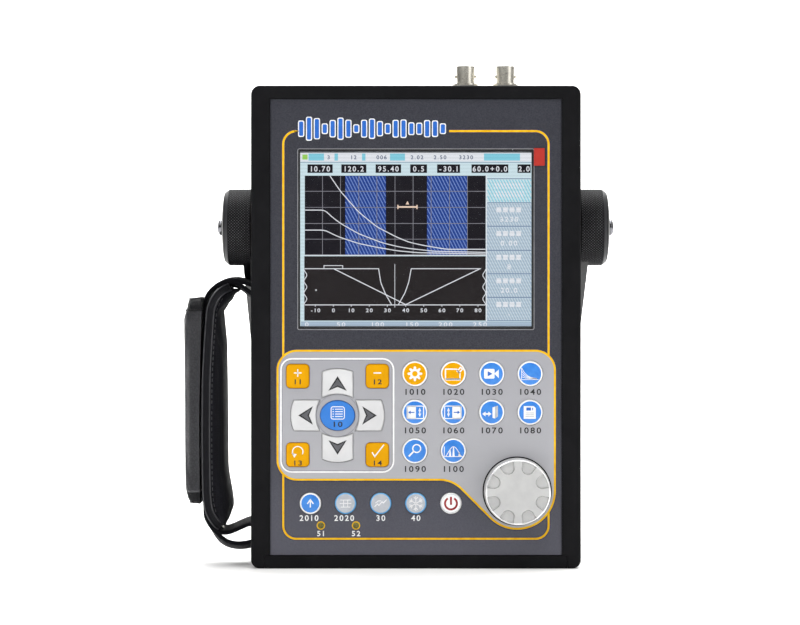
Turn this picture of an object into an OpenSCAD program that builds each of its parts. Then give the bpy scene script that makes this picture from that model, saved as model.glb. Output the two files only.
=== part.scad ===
/* [Case] */
// Width of the case across its side walls
case_w = 164; // [160:1:172]
// Height of the case
case_h = 240; // [236:1:250]
// Depth of the case from its front face to its back face
case_d = 56; // [55:0.5:62]
// Corner radius of the case seen from the front
case_corner_r = 4.8; // [3:0.2:6]
// Rounding of the front edges
front_edge_r = 1.2; // [0.6:0.1:1.8]
// Rounding of the rear edges
rear_edge_r = 2.6; // [1:0.2:2.8]
// Wall thickness of the frame and the shell
wall = 3; // [2.8:0.1:3.2]
// Depth of the front frame
frame_d = 9.4; // [9:0.1:10.4]
// Thickness of the seal between frame and shell
seal_t = 0.6; // [0.4:0.1:1]
// Width of the frame's face at each side
rim_side = 9.4; // [8.8:0.1:10]
// Width of the frame's face at the top
rim_top = 6.6; // [6:0.1:7.6]
// Height of the bottom cover's face with its seam
rim_bottom = 6.5; // [6:0.1:7.2]
// Width of the ledge that carries the panel
ledge_w = 4; // [3:0.2:4.4]
// Thickness of the ledge
ledge_t = 1.9; // [1.6:0.1:2.2]
// Distance of the bottom cover's seams from the case's sides
cover_inset = 6.7; // [6:0.1:7.4]
// Thickness of the bottom cover's floor
cover_floor = 2.6; // [2.2:0.1:3]
// Width of a seam between two fixed pieces
seam = 0.15; // [0.1:0.05:0.25]
// Outer radius of a case screw's boss
boss_r = 3.8; // [3.4:0.1:4]
// Radius of a case screw
screw_r = 1.5; // [1.2:0.1:1.7]
// Head radius of a case screw
screw_head_r = 2.8; // [2.4:0.1:3]
// Head height of a case screw
screw_head_h = 1.8; // [1.4:0.1:2]

/* [Front panel] */
// Depth of the panel's face behind the frame's face
panel_recess = 0.8; // [0.6:0.1:1.2]
// Thickness of the panel
panel_t = 2; // [1.6:0.1:2.4]
// Width of the display window
window_w = 117; // [112:1:120]
// Height of the display window
window_h = 89.4; // [86:0.2:92]
// Distance of the window's top edge below the panel opening's top
window_top_gap = 25.1; // [22:0.1:27]
// Thickness of the window
window_t = 1.7; // [1.2:0.1:1.9]
// Width of the gasket behind the panel round the window
gasket_out = 3; // [2:0.1:4]
// Width of the gasket behind the window's edge
gasket_in = 0.8; // [0.6:0.1:1]
// Width of the display module
lcd_w = 144; // [134:1:145]
// Height of the display module
lcd_h = 104.6; // [100:0.2:108]
// Thickness of the display module
lcd_t = 12; // [10:0.5:13]
// Width of the display's active area
lit_w = 115.2; // [110:0.2:115.2]
// Height of the display's active area
lit_h = 86.4; // [82:0.2:86.4]
// Depth of the glass behind the module's bezel
lcd_bezel_t = 0.8; // [0.5:0.1:1.2]

/* [Key field] */
// Thickness of the keypad overlay
overlay_t = 0.4; // [0.3:0.05:0.5]
// Distance from the panel opening's left edge to the overlay
overlay_left_gap = 4; // [3:0.1:5]
// Distance from the overlay to the panel opening's right edge
overlay_right_gap = 3.7; // [3:0.1:5]
// Distance of the overlay below the window
overlay_window_gap = 10.8; // [10:0.1:12]
// Height of the overlay's straight left side with its corners
overlay_h = 63.8; // [62:0.1:66]
// Corner radius of the overlay
overlay_r = 9.5; // [6:0.5:11]
// Radius of the overlay's hollow bend above the jog knob
overlay_bend_r = 15.5; // [10:0.5:18]
// How far a key stands proud of its surroundings
key_proud = 0.8; // [0.6:0.1:1.2]
// Travel of a key
key_travel = 0.6; // [0.4:0.05:0.6]
// Gap between a key and its hole
key_gap = 0.25; // [0.15:0.05:0.3]
// Lap of a key's flange behind the panel
flange_lap = 0.9; // [0.6:0.1:1]
// Thickness of a key's flange
flange_t = 1; // [0.8:0.1:1.1]
// Bevel of a key's edge
key_bevel = 0.35; // [0.2:0.05:0.5]
// Distance from the overlay's left edge to the centre of the arrow pad
nav_inset_x = 29.7; // [28.5:0.1:31]
// Distance from the overlay's top edge to the centre of the arrow pad
nav_inset_z = 32; // [31:0.1:33]
// Width of an arrow key
arrow_w = 15.1; // [13:0.1:16]
// Distance from the arrow pad's centre to an arrow key's inner edge
arrow_in = 10.8; // [10.4:0.1:11.4]
// Distance from the arrow pad's centre to an arrow key's outer edge
arrow_out = 23.2; // [22:0.1:24]
// Radius of an arrow key's inner edge
arrow_in_r = 16.5; // [14:0.5:20]
// Radius of an arrow key's outer edge
arrow_out_r = 18.3; // [16:0.1:22]
// Width of the oval menu key
menu_w = 17.1; // [15:0.1:17.4]
// Height of the oval menu key
menu_h = 14.8; // [13:0.1:15.4]
// Width of a corner key
corner_w = 11.3; // [10:0.1:12]
// Height of a corner key
corner_h = 11.8; // [10.4:0.1:12.4]
// Corner radius of a corner key
corner_key_r = 2.1; // [1:0.1:3]
// Distance between the corner keys' centres across
corner_pitch_x = 39.5; // [38.5:0.1:41]
// Distance between the corner keys' centres upwards
corner_pitch_z = 39; // [38:0.1:40.4]
// Radius of a function key
function_r = 6.2; // [5.4:0.1:6.6]
// Distance between function keys across
function_pitch_x = 19.07; // [18:0.01:19.6]
// Distance between function keys upwards
function_pitch_z = 19.15; // [18:0.05:19.6]
// Distance from the overlay's right edge to the last function key
function_inset_x = 12.2; // [11:0.1:13]
// Distance from the overlay's top edge to the first function key
function_inset_z = 11.3; // [10:0.1:12]
// Radius of a lower key
lower_r = 5.2; // [4.6:0.1:5.6]
// Distance between the lower keys
lower_pitch = 17.45; // [16.4:0.05:17.8]
// Distance from the panel opening's left edge to the first lower key
lower_inset_x = 20.2; // [18:0.1:22]
// Distance of the lower keys below the overlay
lower_drop = 11.9; // [11:0.1:13]
// Radius of an indicator lamp
lamp_r = 1.5; // [1.2:0.1:1.7]
// Distance of the lamps right of the first two lower keys
lamp_shift = 5.2; // [4:0.1:6]
// Distance of the lamps below the lower keys
lamp_drop = 11; // [9:0.1:11.4]
// Thickness of the silicone mat
mat_t = 1.4; // [1:0.1:1.8]
// Thickness of a circuit board
board_t = 1.6; // [1:0.1:2]
// Lap of the keypad board behind the frame's ledge
board_lap = 2.4; // [1.6:0.1:2.6]

/* [Jog knob] */
// Distance of the knob's axis below the overlay's lower edge
knob_drop = 5.8; // [5:0.1:6.6]
// Distance from the knob's axis to the overlay's right edge
knob_inset_x = 18.6; // [17.6:0.1:20]
// Radius of the knob's skirt
knob_r = 16.5; // [14:0.1:16.8]
// Height of the knob
knob_h = 10.8; // [9:0.2:14]
// Gap between the knob and the panel
knob_lift = 0.9; // [0.8:0.1:1.2]
// How far the knob can be pressed
knob_travel = 0.5; // [0.3:0.1:0.5]
// Depth of the knob's flutes
flute_d = 1.6; // [0.8:0.1:2.2]
// Width of a flute
flute_w = 6.3; // [4:0.1:7]
// Distance of a flute's inner centre from the axis
flute_in = 13; // [12:0.1:14]
// Number of flutes
flute_n = 8; // [6:1:10]
// Radius of the encoder's shaft
shaft_r = 3; // [2.5:0.1:3.2]
// Distance of the shaft's flat from its axis
shaft_flat = 2.2; // [1.8:0.1:2.4]
// Running clearance of a shaft, radial
run_gap = 0.05; // [0.03:0.01:0.08]
// Radius of the encoder's threaded neck
neck_r = 4.4; // [4.1:0.1:4.6]
// Width of the encoder's housing
encoder_w = 14; // [13:0.2:16]
// Depth of the encoder's housing
encoder_d = 11; // [10:0.2:12]
// Radius of the encoder's rotor
rotor_r = 5; // [4.4:0.1:5.4]

/* [Probe jacks and ports] */
// Position of the first jack right of the centre line
jack_x = 25.3; // [22:0.1:27]
// Distance between the two jacks
jack_pitch = 20.1; // [19:0.1:22]
// Radius of a jack's barrel
jack_r = 4.83; // [4.7:0.01:4.9]
// Radius of the hollow inside the barrel
jack_bore_r = 4.05; // [3.8:0.05:4.2]
// Height of a jack above the case
jack_h = 11.7; // [11:0.1:13]
// Radius of a jack's threaded body
jack_thread_r = 6.1; // [5.8:0.1:6.3]
// Width of a jack's nut across its corners
jack_nut_w = 16.2; // [15:0.1:17]
// Thickness of a jack's nut
jack_nut_t = 2.1; // [1.6:0.1:2.2]
// Span of the bayonet lugs
lug_span = 11.05; // [10.9:0.05:11.2]
// Radius of a lug
lug_r = 0.95; // [0.8:0.05:1]
// Distance of the lugs below the jack's mouth
lug_drop = 5.1; // [4.8:0.1:5.4]
// Length of the flap over the ports
flap_w = 37; // [35:0.5:40]
// Depth of the flap, hinge excluded
flap_d = 17; // [16:0.5:19]
// Thickness of the flap
flap_t = 1.4; // [1:0.1:1.4]
// Distance of the flap's middle from the case's left side
flap_inset = 43.5; // [42:0.5:48]
// Radius of the flap's hinge barrel
flap_knuckle_r = 1.1; // [1:0.05:1.15]
// Radius of the flap's hinge stubs
flap_stub_r = 0.6; // [0.5:0.05:0.65]

/* [Bail handle] */
// Height of the handle's pivots above the base
pivot_z = 170.3; // [166:0.1:176]
// Distance from the pivot to the crossbar
arm_l = 118; // [116:1:128]
// Angle of the handle below the horizontal at rest
arm_rest_deg = 32; // [24:1:32]
// Thickness of an arm
arm_t = 4.3; // [3.6:0.1:4.6]
// Radius of an arm's end round the crossbar
arm_end_r = 11; // [9.5:0.5:12]
// Radius of the hubs
hub_r = 19.05; // [17:0.05:19.4]
// Length of a knurled drum outside the arm
drum_l = 7.2; // [6:0.1:10]
// Thickness of a hub cap
cap_t = 3.7; // [3:0.1:4.4]
// Bevel of a hub cap
cap_bevel = 1.3; // [1:0.1:2]
// Radius of a pivot stud
stud_r = 5; // [4.4:0.1:5.6]
// Radius of a stud's flange inside the case
stud_flange_r = 8; // [7:0.5:9]
// Thickness of a stud's flange
stud_flange_t = 2.4; // [2:0.1:2.6]
// Thickness of a friction washer
washer_t = 0.6; // [0.4:0.1:0.8]
// Radius of a friction washer
washer_r = 16; // [13:0.5:17]
// Side clearance between turning faces
side_gap = 0.1; // [0.05:0.05:0.2]
// Head radius of a retaining screw
retainer_head_r = 4.25; // [3.6:0.05:4.8]
// Head height of a retaining screw
retainer_head_h = 2.4; // [1.8:0.1:2.8]
// Shank radius of a retaining screw
retainer_r = 2; // [1.6:0.1:2.4]
// Radius of the crossbar
crossbar_r = 6; // [5:0.5:7]
// Outer radius of the rubber grip
grip_r = 9.2; // [8:0.1:9.4]
// Length of the rubber grip
grip_l = 112; // [90:1:120]

/* [Hand strap] */
// Width of the webbing
web_w = 20; // [16:0.5:20]
// Thickness of the webbing
web_t = 1.8; // [1.4:0.1:1.9]
// Height of the upper strap bar above the base
strap_top_z = 137.4; // [134:0.1:137.4]
// Height of the lower strap bar above the base
strap_low_z = 16.6; // [16.4:0.1:18]
// Radius of a strap bar
bar_r = 1.6; // [1.3:0.1:1.7]
// Distance of the pad's seam from the case's side
strap_out = 23.8; // [22:0.1:26]
// Thickness of the inner pad
pad_t = 10.3; // [8:0.1:10.6]
// Thickness of the outer panel at its crown
cover_crown = 10.4; // [8:0.1:12]
// Width of the pad
pad_w = 52; // [44:1:56]

/* [Battery and boards] */
// Width of the battery compartment
battery_w = 116; // [100:1:118]
// Height of the battery compartment
battery_h = 66; // [60:1:70]
// Height of the compartment's floor above the base
battery_z = 26; // [25:0.5:28]
// Depth of the compartment
battery_d = 18.5; // [16:0.5:19]
// Thickness of the battery door
door_t = 1.6; // [1.2:0.1:1.8]
// Width of the main board
main_w = 140; // [120:1:140]
// Height of the main board
main_h = 192; // [180:1:194]
// Height of the main board's lower edge above the base
main_z = 20; // [18:0.5:22]
// Distance of the main board behind the case's mid plane, towards the front
main_shift = 5; // [4.6:0.1:5.4]

/* [Hidden] */

$fn = 64;
// Overrun of a cut past the face it opens
over = 1;
// Overlap of two shapes that are one casting
fuse = 0.4;

// Planes of the case, front to back
half_w = case_w / 2;
front_y = -case_d / 2;
back_y = case_d / 2;
panel_front_y = front_y + panel_recess;
panel_back_y = panel_front_y + panel_t;
ledge_back_y = panel_back_y + ledge_t;
frame_back_y = front_y + frame_d;
shell_front_y = frame_back_y + seal_t;
shell_floor_y = back_y - wall;
inner_x = half_w - wall;

// Opening of the frame that the panel fills
open_x = half_w - rim_side;
open_z0 = rim_bottom;
open_z1 = case_h - rim_top;
cover_x = half_w - cover_inset;

// Screws, their bosses and the blocks that the bottom cover is screwed to
boss_x = inner_x - boss_r + fuse;
boss_low_z = 34;
boss_mid_z = 104;
boss_top_drop = 14;
boss_zs = [boss_low_z, boss_mid_z, case_h - boss_top_drop];
screw_gap = 0.05;
screw_sink = 2.2;
socket_r = 1.3;
socket_d = 1;
cover_screw_r = 1.25;
cover_screw_in = 4.8;
lug_w = 13;
lug_h = 10;
lug_d = 7;
lug_skin = 1.6;
lug_screw_x = cover_x - cover_screw_in;
lug_front_y = (ledge_back_y + frame_back_y) / 2;
lug_rear_y = shell_floor_y - lug_d / 2;
cover_pocket_x = lug_screw_x - lug_d;
cover_pocket_d = lug_rear_y - lug_front_y - 2 * lug_d;

// Window, gasket and display module
window_z1 = open_z1 - window_top_gap;
window_z0 = window_z1 - window_h;
window_z = (window_z0 + window_z1) / 2;
window_back_y = panel_back_y;
lcd_front_y = ledge_back_y;
lcd_back_y = lcd_front_y + lcd_t;

// Key field
overlay_x0 = -open_x + overlay_left_gap;
overlay_x1 = open_x - overlay_right_gap;
overlay_z1 = window_z0 - overlay_window_gap;
overlay_z0 = overlay_z1 - overlay_h;
overlay_front_y = panel_front_y - overlay_t;
knob_x = overlay_x1 - knob_inset_x;
knob_z = overlay_z0 - knob_drop;
nav_x = overlay_x0 + nav_inset_x;
nav_z = overlay_z1 - nav_inset_z;
function_x = overlay_x1 - function_inset_x;
function_z = overlay_z1 - function_inset_z;
lower_x = -open_x + lower_inset_x;
lower_z = overlay_z0 - lower_drop;
lamp_x = lower_x + lamp_shift;
lamp_z = lower_z - lamp_drop;
field_key_y = overlay_front_y - key_proud;
lower_key_y = panel_front_y - key_proud;
key_seat_gap = 0.1;
flange_front_y = panel_back_y + key_seat_gap;
flange_back_y = flange_front_y + flange_t;
mat_front_y = ledge_back_y;
mat_back_y = mat_front_y + mat_t;
key_board_back_y = mat_back_y + board_t;
board_x = open_x - ledge_w + board_lap;
board_foot = 4;
board_z0 = lamp_z - board_foot;
board_air = 3.2;
board_z1 = window_z - lcd_h / 2 - board_air;
lamp_proud = 0.3;
lamp_gap = 0.15;
lower_n = 5;
lamp_n = 2;

// Last function key of each row, counted from the left
row_lasts = [3, 3, 1];
col_last = 3;

// Jog knob and the encoder under it
knob_back_y = panel_front_y - knob_lift;
knob_front_y = knob_back_y - knob_h;
neck_h = 3.2;
neck_tip_y = panel_front_y - neck_h;
neck_nut_t = 2;
neck_nut_r = 5.8;
encoder_front_y = flange_front_y;
encoder_back_y = encoder_front_y + encoder_d;
encoder_wall = 1.2;
rotor_gap = 0.3;
rotor_front_y = encoder_front_y + 3 * encoder_wall;
rotor_back_y = encoder_back_y - encoder_wall - rotor_gap;
encoder_clear = 1;
knob_bay_r = 7.5;
knob_bay_y = neck_tip_y - knob_travel - 2 * rotor_gap;
knob_roof = 2.2;
knob_skirt_h = 1.4;
knob_step = 0.3;
knob_bevel = 0.8;
shaft_front_y = knob_front_y + knob_roof + screw_gap;
shaft_back_y = encoder_back_y - encoder_wall - knob_travel - rotor_gap;
shaft_flat_y = encoder_front_y + encoder_wall;

// Probe jacks, ports and the ports' flap on the top wall
jack_xs = [jack_x, jack_x + jack_pitch];
jack_top_z = case_h + jack_h;
jack_neck_over = 0.8;
jack_neck_h = jack_nut_t + jack_neck_over;
jack_seat_h = 4;
jack_seat_r = 7.2;
jack_tail_h = 4;
jack_tail_r = 1.5;
jack_pin_r = 0.7;
jack_core_r = 2.4;
jack_core_drop = 3.4;
jack_core_skin = 0.05;
jack_roof = 1.6;
lug_z = jack_top_z - lug_drop;
// The barrel is turned down a little from the nut up to just above the lugs
jack_relief = 0.2;
jack_land_gap = 0.35;
jack_land_z = lug_z + lug_r + jack_land_gap;
flap_x = -half_w + flap_inset;
flap_gap = 0.1;
flap_z0 = case_h + flap_gap;
flap_corner_r = 2;
hinge_y = flap_d / 2 + 1.5 * flap_knuckle_r;
hinge_z = flap_z0 + flap_knuckle_r;
ear_t = 2;
ear_gap = 0.2;
ear_r = 1.15;
port_drop = 0.4;
port_gap = 0.2;
port_seat_h = 2;
port_lip = 1.5;
usb_w = 12;
usb_d = 11;
usb_h = 14;
usb_hole_w = 8.5;
usb_hole_d = 7.8;
usb_hole_h = 9;
tongue_w = 5.6;
tongue_d = 3.2;
port_shift = 11;
dc_r = 5.5;
dc_hole_r = 3.1;
dc_pin_r = 0.95;

// Bail handle, stacked outwards from the case's side
arm_x0 = half_w + washer_t + side_gap;
arm_x1 = arm_x0 + arm_t;
drum_x1 = arm_x1 + drum_l;
cap_rim_h = 1.8;
cap_dome_r = hub_r - cap_bevel;
cap_dome_h = cap_t - cap_rim_h;
cap_x1 = drum_x1 + cap_t;
cap_steps = 8;
cap_top_deg = acos((retainer_r + run_gap) / cap_dome_r);
stud_tip_gap = 0.1;
stud_x1 = drum_x1 - stud_tip_gap;
retainer_depth = 8;
retainer_slot_w = 1.1;
retainer_slot_d = 0.9;
grip_skin = 0.05;

// Hand strap
pocket_d = 7.8;
pocket_wall = 1.5;
pocket_rim = 2;
pocket_air = 0.5;
web_air = 0.1;
upper_loop_r = bar_r + web_air;
lower_loop_r = 4.3;
upper_pocket_h = 12;
lower_pocket_h = 14.4;
bar_x = -half_w + pocket_d - pocket_air - web_t - web_air - bar_r;
upper_loop = [bar_x, strap_top_z];
lower_loop = [bar_x + upper_loop_r - lower_loop_r, strap_low_z];
web_steps = 14;
loop_steps = 12;
strap_mid_z = (strap_top_z + strap_low_z) / 2;
strap_turn = 2.6;
strap_half_z = (strap_top_z - strap_low_z) / 2 + strap_turn;
strap_bend = 6.3;
strap_bend_power = 9;
channel_z0 = 27;
channel_z1 = 129;
channel_steps = 12;
channel_air = 0.1;
curve_step = 0.01;
crown_power = 0.55;
side_power = 0.8;
// Points that the webbing's four curves are drawn towards, out from the case's side and up from the
// curve's bar, as shares of strap_out
upper_run_shares = [[0.336, 0.109], [0.777, 0.588]];
lower_run_shares = [[0.819, -0.294], [0.378, -0.42]];
upper_end_shares = [[0.084, -0.108], [0.294, 0.151], [0.639, 0.134]];
lower_end_shares = [[0.25, 0.14], [0.62, -0.2], [0.785, 0.155]];
pad_z0 = strap_low_z + 2 * web_t;
pad_z1 = strap_top_z + 1.2 * web_t;
cover_z0 = strap_low_z + 8 * web_t;
cover_z1 = strap_top_z - 1.6 * web_t;
cover_split = 0.2;
soft_sides = 16;
rivet_r = 2.1;
rivet_head = 0.6;
rivet_shank_r = 0.9;
rivet_grip = 5.4;
rivet_up_share = 0.46;
rivet_low_share = 0.22;

// Shares of the pad's height, thickness and half width, from its lower end to its upper end
pad_shares = [[0, 0.5, 0.55], [0.03, 0.85, 0.72], [0.07, 1.1, 0.84], [0.12, 1.26, 0.93], [0.2, 1.14, 1],
    [0.3, 1.04, 1], [0.5, 1, 1], [0.7, 0.98, 1], [0.82, 0.9, 0.97], [0.89, 0.74, 0.9],
    [0.94, 0.88, 0.8], [0.97, 1.05, 0.68], [1, 0.95, 0.5]];
// The same for the outer panel
cover_shares = [[0, 0.55, 0.86], [0.03, 0.76, 0.93], [0.08, 0.88, 0.98], [0.3, 0.94, 1], [0.5, 0.98, 1],
    [0.7, 1.02, 1], [0.88, 1.04, 1], [0.96, 0.9, 0.95], [1, 0.64, 0.86]];

// Boards, battery and wiring
main_front_y = -main_shift;
main_back_y = main_front_y + board_t;
post_r = 3;
post_in = 5;
post_x = main_w / 2 - post_in;
post_zs = [main_z + post_in, main_z + main_h - post_in];
bay_wall = 2;
bay_x = battery_w / 2;
bay_y = shell_floor_y - battery_d;
battery_air = 0.4;
battery_corner_r = 3;
door_lap_x = 3;
door_lap_z = 9;
door_gap = 0.15;
door_x = bay_x + door_lap_x;
door_z0 = battery_z - door_lap_z;
door_z1 = battery_z + battery_h + door_lap_z;
door_y = back_y - door_t;
door_screw_in = 4.4;
door_screw_head_h = 1;
chip_t = 1.8;
can_t = 5;
can_w = 46;
can_h = 40;
can_z = 120;
chip_w = 22;
chip_z = 150;
plug_w = 8;
plug_t = 4;
plug_h = 6;
buzzer_r = 6;
buzzer_h = 6.5;
buzzer_x = 52;
buzzer_z = 130;
ribbon_w = 28;
ribbon_t = 0.5;
ribbon_plug_t = 2;
display_ribbon_z = 186;
key_ribbon_z = 60;
lead_x = 40;
lead_r = 1.2;
lead_hole_r = 2;
lead_y = 16;
lead_rise = 10;
coax_r = 1.1;
lead_sides = 8;
lead_steps = 16;

// Slab between two corners
module slab(x0, x1, y0, y1, z0, z1) {
    translate([x0, y0, z0]) cube([x1 - x0, y1 - y0, z1 - z0]);
}

// A drawing of x and z carried from y0 to y1
module along_y(y0, y1) {
    translate([0, y1, 0]) rotate([90, 0, 0]) linear_extrude(y1 - y0) children();
}

// A drawing of y and z carried from x0 to x1
module along_x(x0, x1) {
    translate([x0, 0, 0]) rotate([90, 0, 90]) linear_extrude(x1 - x0) children();
}

module rod_y(x, z, y0, y1, r) {
    translate([x, y1, z]) rotate([90, 0, 0]) cylinder(h = y1 - y0, r = r);
}

module rod_x(y, z, x0, x1, r) {
    translate([x0, y, z]) rotate([0, 90, 0]) cylinder(h = x1 - x0, r = r);
}

module rod_z(x, y, z0, z1, r) {
    translate([x, y, z0]) cylinder(h = z1 - z0, r = r);
}

module both_sides() {
    children();
    mirror([1, 0, 0]) children();
}

module rounded_rect(w, h, r) {
    square([w - 2 * r, h], center = true);
    square([w, h - 2 * r], center = true);
    for (sx = [-1, 1], sz = [-1, 1]) translate([sx * (w / 2 - r), sz * (h / 2 - r)]) circle(r);
}

// Depth of the case drawn against a width w, with its front and rear edges rounded
module depth_profile(w) {
    translate([-w / 2, front_y + front_edge_r]) square([w, case_d - front_edge_r - rear_edge_r]);
    translate([-w / 2 + front_edge_r, front_y]) square([w - 2 * front_edge_r, case_d / 2]);
    translate([-w / 2 + rear_edge_r, 0]) square([w - 2 * rear_edge_r, case_d / 2]);
    for (s = [-1, 1]) {
        translate([s * (w / 2 - front_edge_r), front_y + front_edge_r]) circle(front_edge_r);
        translate([s * (w / 2 - rear_edge_r), back_y - rear_edge_r]) circle(rear_edge_r);
    }
}

module case_solid() {
    intersection() {
        along_y(front_y, back_y) translate([0, case_h / 2]) rounded_rect(case_w, case_h, case_corner_r);
        linear_extrude(case_h) depth_profile(case_w);
        translate([half_w, 0, case_h / 2]) rotate([0, -90, 0]) linear_extrude(case_w) depth_profile(case_h);
    }
}

// Opening of the frame, smaller by inset all round
module opening(inset) {
    translate([inset - open_x, open_z0 + inset])
        square([2 * (open_x - inset), open_z1 - open_z0 - 2 * inset]);
}

module cavity() {
    translate([-inner_x, wall]) square([2 * inner_x, case_h - 2 * wall]);
}

module cover_slot(y0, y1) {
    slab(-cover_x, cover_x, y0, y1, -over, rim_bottom);
}

// Case

module front_frame() {
    color("#1d1d1f") difference() {
        union() {
            difference() {
                intersection() {
                    case_solid();
                    slab(-half_w, half_w, front_y, frame_back_y, 0, case_h);
                }
                along_y(front_y - over, panel_back_y) opening(0);
                along_y(front_y - over, frame_back_y + over) opening(ledge_w);
                along_y(ledge_back_y, frame_back_y + over) cavity();
            }
            both_sides() {
                for (z = boss_zs) rod_y(boss_x, z, ledge_back_y - fuse, frame_back_y, boss_r);
                slab(inner_x - lug_w, inner_x + fuse, ledge_back_y - fuse, frame_back_y,
                    rim_bottom, rim_bottom + lug_h);
            }
        }
        cover_slot(front_y - over, frame_back_y + over);
        both_sides() {
            for (z = boss_zs) rod_y(boss_x, z, ledge_back_y, frame_back_y + over, screw_r + screw_gap);
            rod_z(lug_screw_x, lug_front_y, rim_bottom - over, rim_bottom + lug_h - lug_skin,
                cover_screw_r + screw_gap);
        }
    }
}

// Pocket for a strap bar, outer block or hollow
module pocket(z, h, grow) {
    slab(-half_w + rear_edge_r, -half_w + pocket_d + pocket_wall * grow,
        -web_w / 2 - over - pocket_rim * grow, web_w / 2 + over + pocket_rim * grow,
        z - h / 2 - pocket_wall * grow, z + h / 2 + pocket_wall * grow);
}

module pocket_mouth(z, h) {
    pocket(z, h, 0);
    slab(-half_w - over, -half_w + wall + over, -web_w / 2 - over, web_w / 2 + over, z - h / 2, z + h / 2);
}

module rear_shell() {
    color("#222224") difference() {
        union() {
            difference() {
                intersection() {
                    case_solid();
                    slab(-half_w, half_w, shell_front_y, back_y, 0, case_h);
                }
                along_y(shell_front_y - over, shell_floor_y) cavity();
            }
            both_sides() {
                for (z = boss_zs) rod_y(boss_x, z, shell_front_y, shell_floor_y + fuse, boss_r);
                for (z = post_zs) rod_y(post_x, z, main_back_y, shell_floor_y + fuse, post_r);
                slab(inner_x - lug_w, inner_x + fuse, shell_floor_y - lug_d, shell_floor_y + fuse,
                    rim_bottom, rim_bottom + lug_h);
            }
            slab(-bay_x - bay_wall, bay_x + bay_wall, bay_y - bay_wall, shell_floor_y + fuse,
                battery_z - bay_wall, battery_z + battery_h + bay_wall);
            pocket(strap_top_z, upper_pocket_h, 1);
            pocket(strap_low_z, lower_pocket_h, 1);
            for (s = [-1, 1]) translate([flap_x + s * (flap_w / 2 + ear_t / 2 + ear_gap), 0, 0]) {
                rod_x(hinge_y, hinge_z, -ear_t / 2, ear_t / 2, ear_r);
                slab(-ear_t / 2, ear_t / 2, hinge_y - ear_r, hinge_y + ear_r, case_h - fuse, hinge_z);
            }
        }
        cover_slot(shell_front_y - over, back_y + over);
        both_sides() {
            for (z = boss_zs) {
                rod_y(boss_x, z, shell_front_y - over, back_y + over, screw_r + screw_gap);
                rod_y(boss_x, z, back_y - screw_sink, back_y + over, screw_head_r + screw_gap);
            }
            for (z = post_zs)
                rod_y(post_x, z, main_back_y - over, shell_floor_y - lug_d, screw_r + screw_gap);
            rod_z(lug_screw_x, lug_rear_y, rim_bottom - over, rim_bottom + lug_h - lug_skin,
                cover_screw_r + screw_gap);
            rod_x(0, pivot_z, inner_x - over, half_w + over, stud_r + run_gap);
        }
        slab(-bay_x, bay_x, bay_y, back_y + over, battery_z, battery_z + battery_h);
        slab(-door_x - door_gap, door_x + door_gap, door_y, back_y + over,
            door_z0 - door_gap, door_z1 + door_gap);
        for (z = [door_z0 + door_screw_in, door_z1 - door_screw_in])
            rod_y(0, z, shell_floor_y - over, back_y, screw_r + screw_gap);
        rod_z(lead_x, lead_y, battery_z + battery_h - over, battery_z + battery_h + bay_wall + over,
            lead_hole_r);
        pocket_mouth(strap_top_z, upper_pocket_h);
        pocket_mouth(strap_low_z, lower_pocket_h);
        for (loop = [strap_top_z, strap_low_z])
            rod_y(bar_x, loop, -web_w / 2 - over - pocket_rim, web_w / 2 + over + pocket_rim,
                bar_r + screw_gap);
        for (x = jack_xs) rod_z(x, 0, case_h - wall - over, case_h + over, jack_thread_r + screw_gap);
        translate([flap_x - port_shift, 0, case_h - wall - over]) linear_extrude(wall + 2 * over)
            square([usb_w + 2 * port_gap, usb_d + 2 * port_gap], center = true);
        rod_z(flap_x + port_shift, 0, case_h - wall - over, case_h + over, dc_r + port_gap);
        rod_x(hinge_y, hinge_z, flap_x - flap_w / 2 - ear_t - over, flap_x + flap_w / 2 + ear_t + over,
            flap_stub_r + screw_gap);
    }
}

module bottom_cover() {
    color("#202022") difference() {
        intersection() {
            linear_extrude(rim_bottom - seam) depth_profile(case_w);
            slab(-cover_x + seam, cover_x - seam, front_y, back_y, 0, rim_bottom);
            translate([half_w, 0, case_h / 2]) rotate([0, -90, 0])
                linear_extrude(case_w) depth_profile(case_h);
        }
        slab(-cover_pocket_x, cover_pocket_x, -cover_pocket_d / 2, cover_pocket_d / 2,
            cover_floor, rim_bottom);
        both_sides() for (y = [lug_front_y, lug_rear_y]) {
            rod_z(lug_screw_x, y, -over, rim_bottom + over, cover_screw_r + screw_gap);
            rod_z(lug_screw_x, y, -over, screw_sink, screw_head_r + screw_gap);
        }
    }
}

// Seal between the frame and the shell, set back from the outer face
module case_gasket() {
    color("#101010") along_y(frame_back_y, shell_front_y) difference() {
        translate([0, case_h / 2]) rounded_rect(case_w - wall / 3, case_h - wall / 3, case_corner_r);
        translate([wall / 4 - inner_x, wall]) square([2 * inner_x - wall / 2, case_h - wall - wall * 5 / 4]);
        translate([-cover_x, -over]) square([2 * cover_x, rim_bottom + over]);
    }
}

// Cap screw along z, its head's underside at the origin and its shank upwards
module cap_screw(r, l, head_h) {
    cylinder(h = l, r = r);
    difference() {
        translate([0, 0, -head_h]) cylinder(h = head_h, r = screw_head_r);
        translate([0, 0, -head_h - over]) cylinder(h = socket_d + over, r = socket_r, $fn = 6);
    }
}

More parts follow.
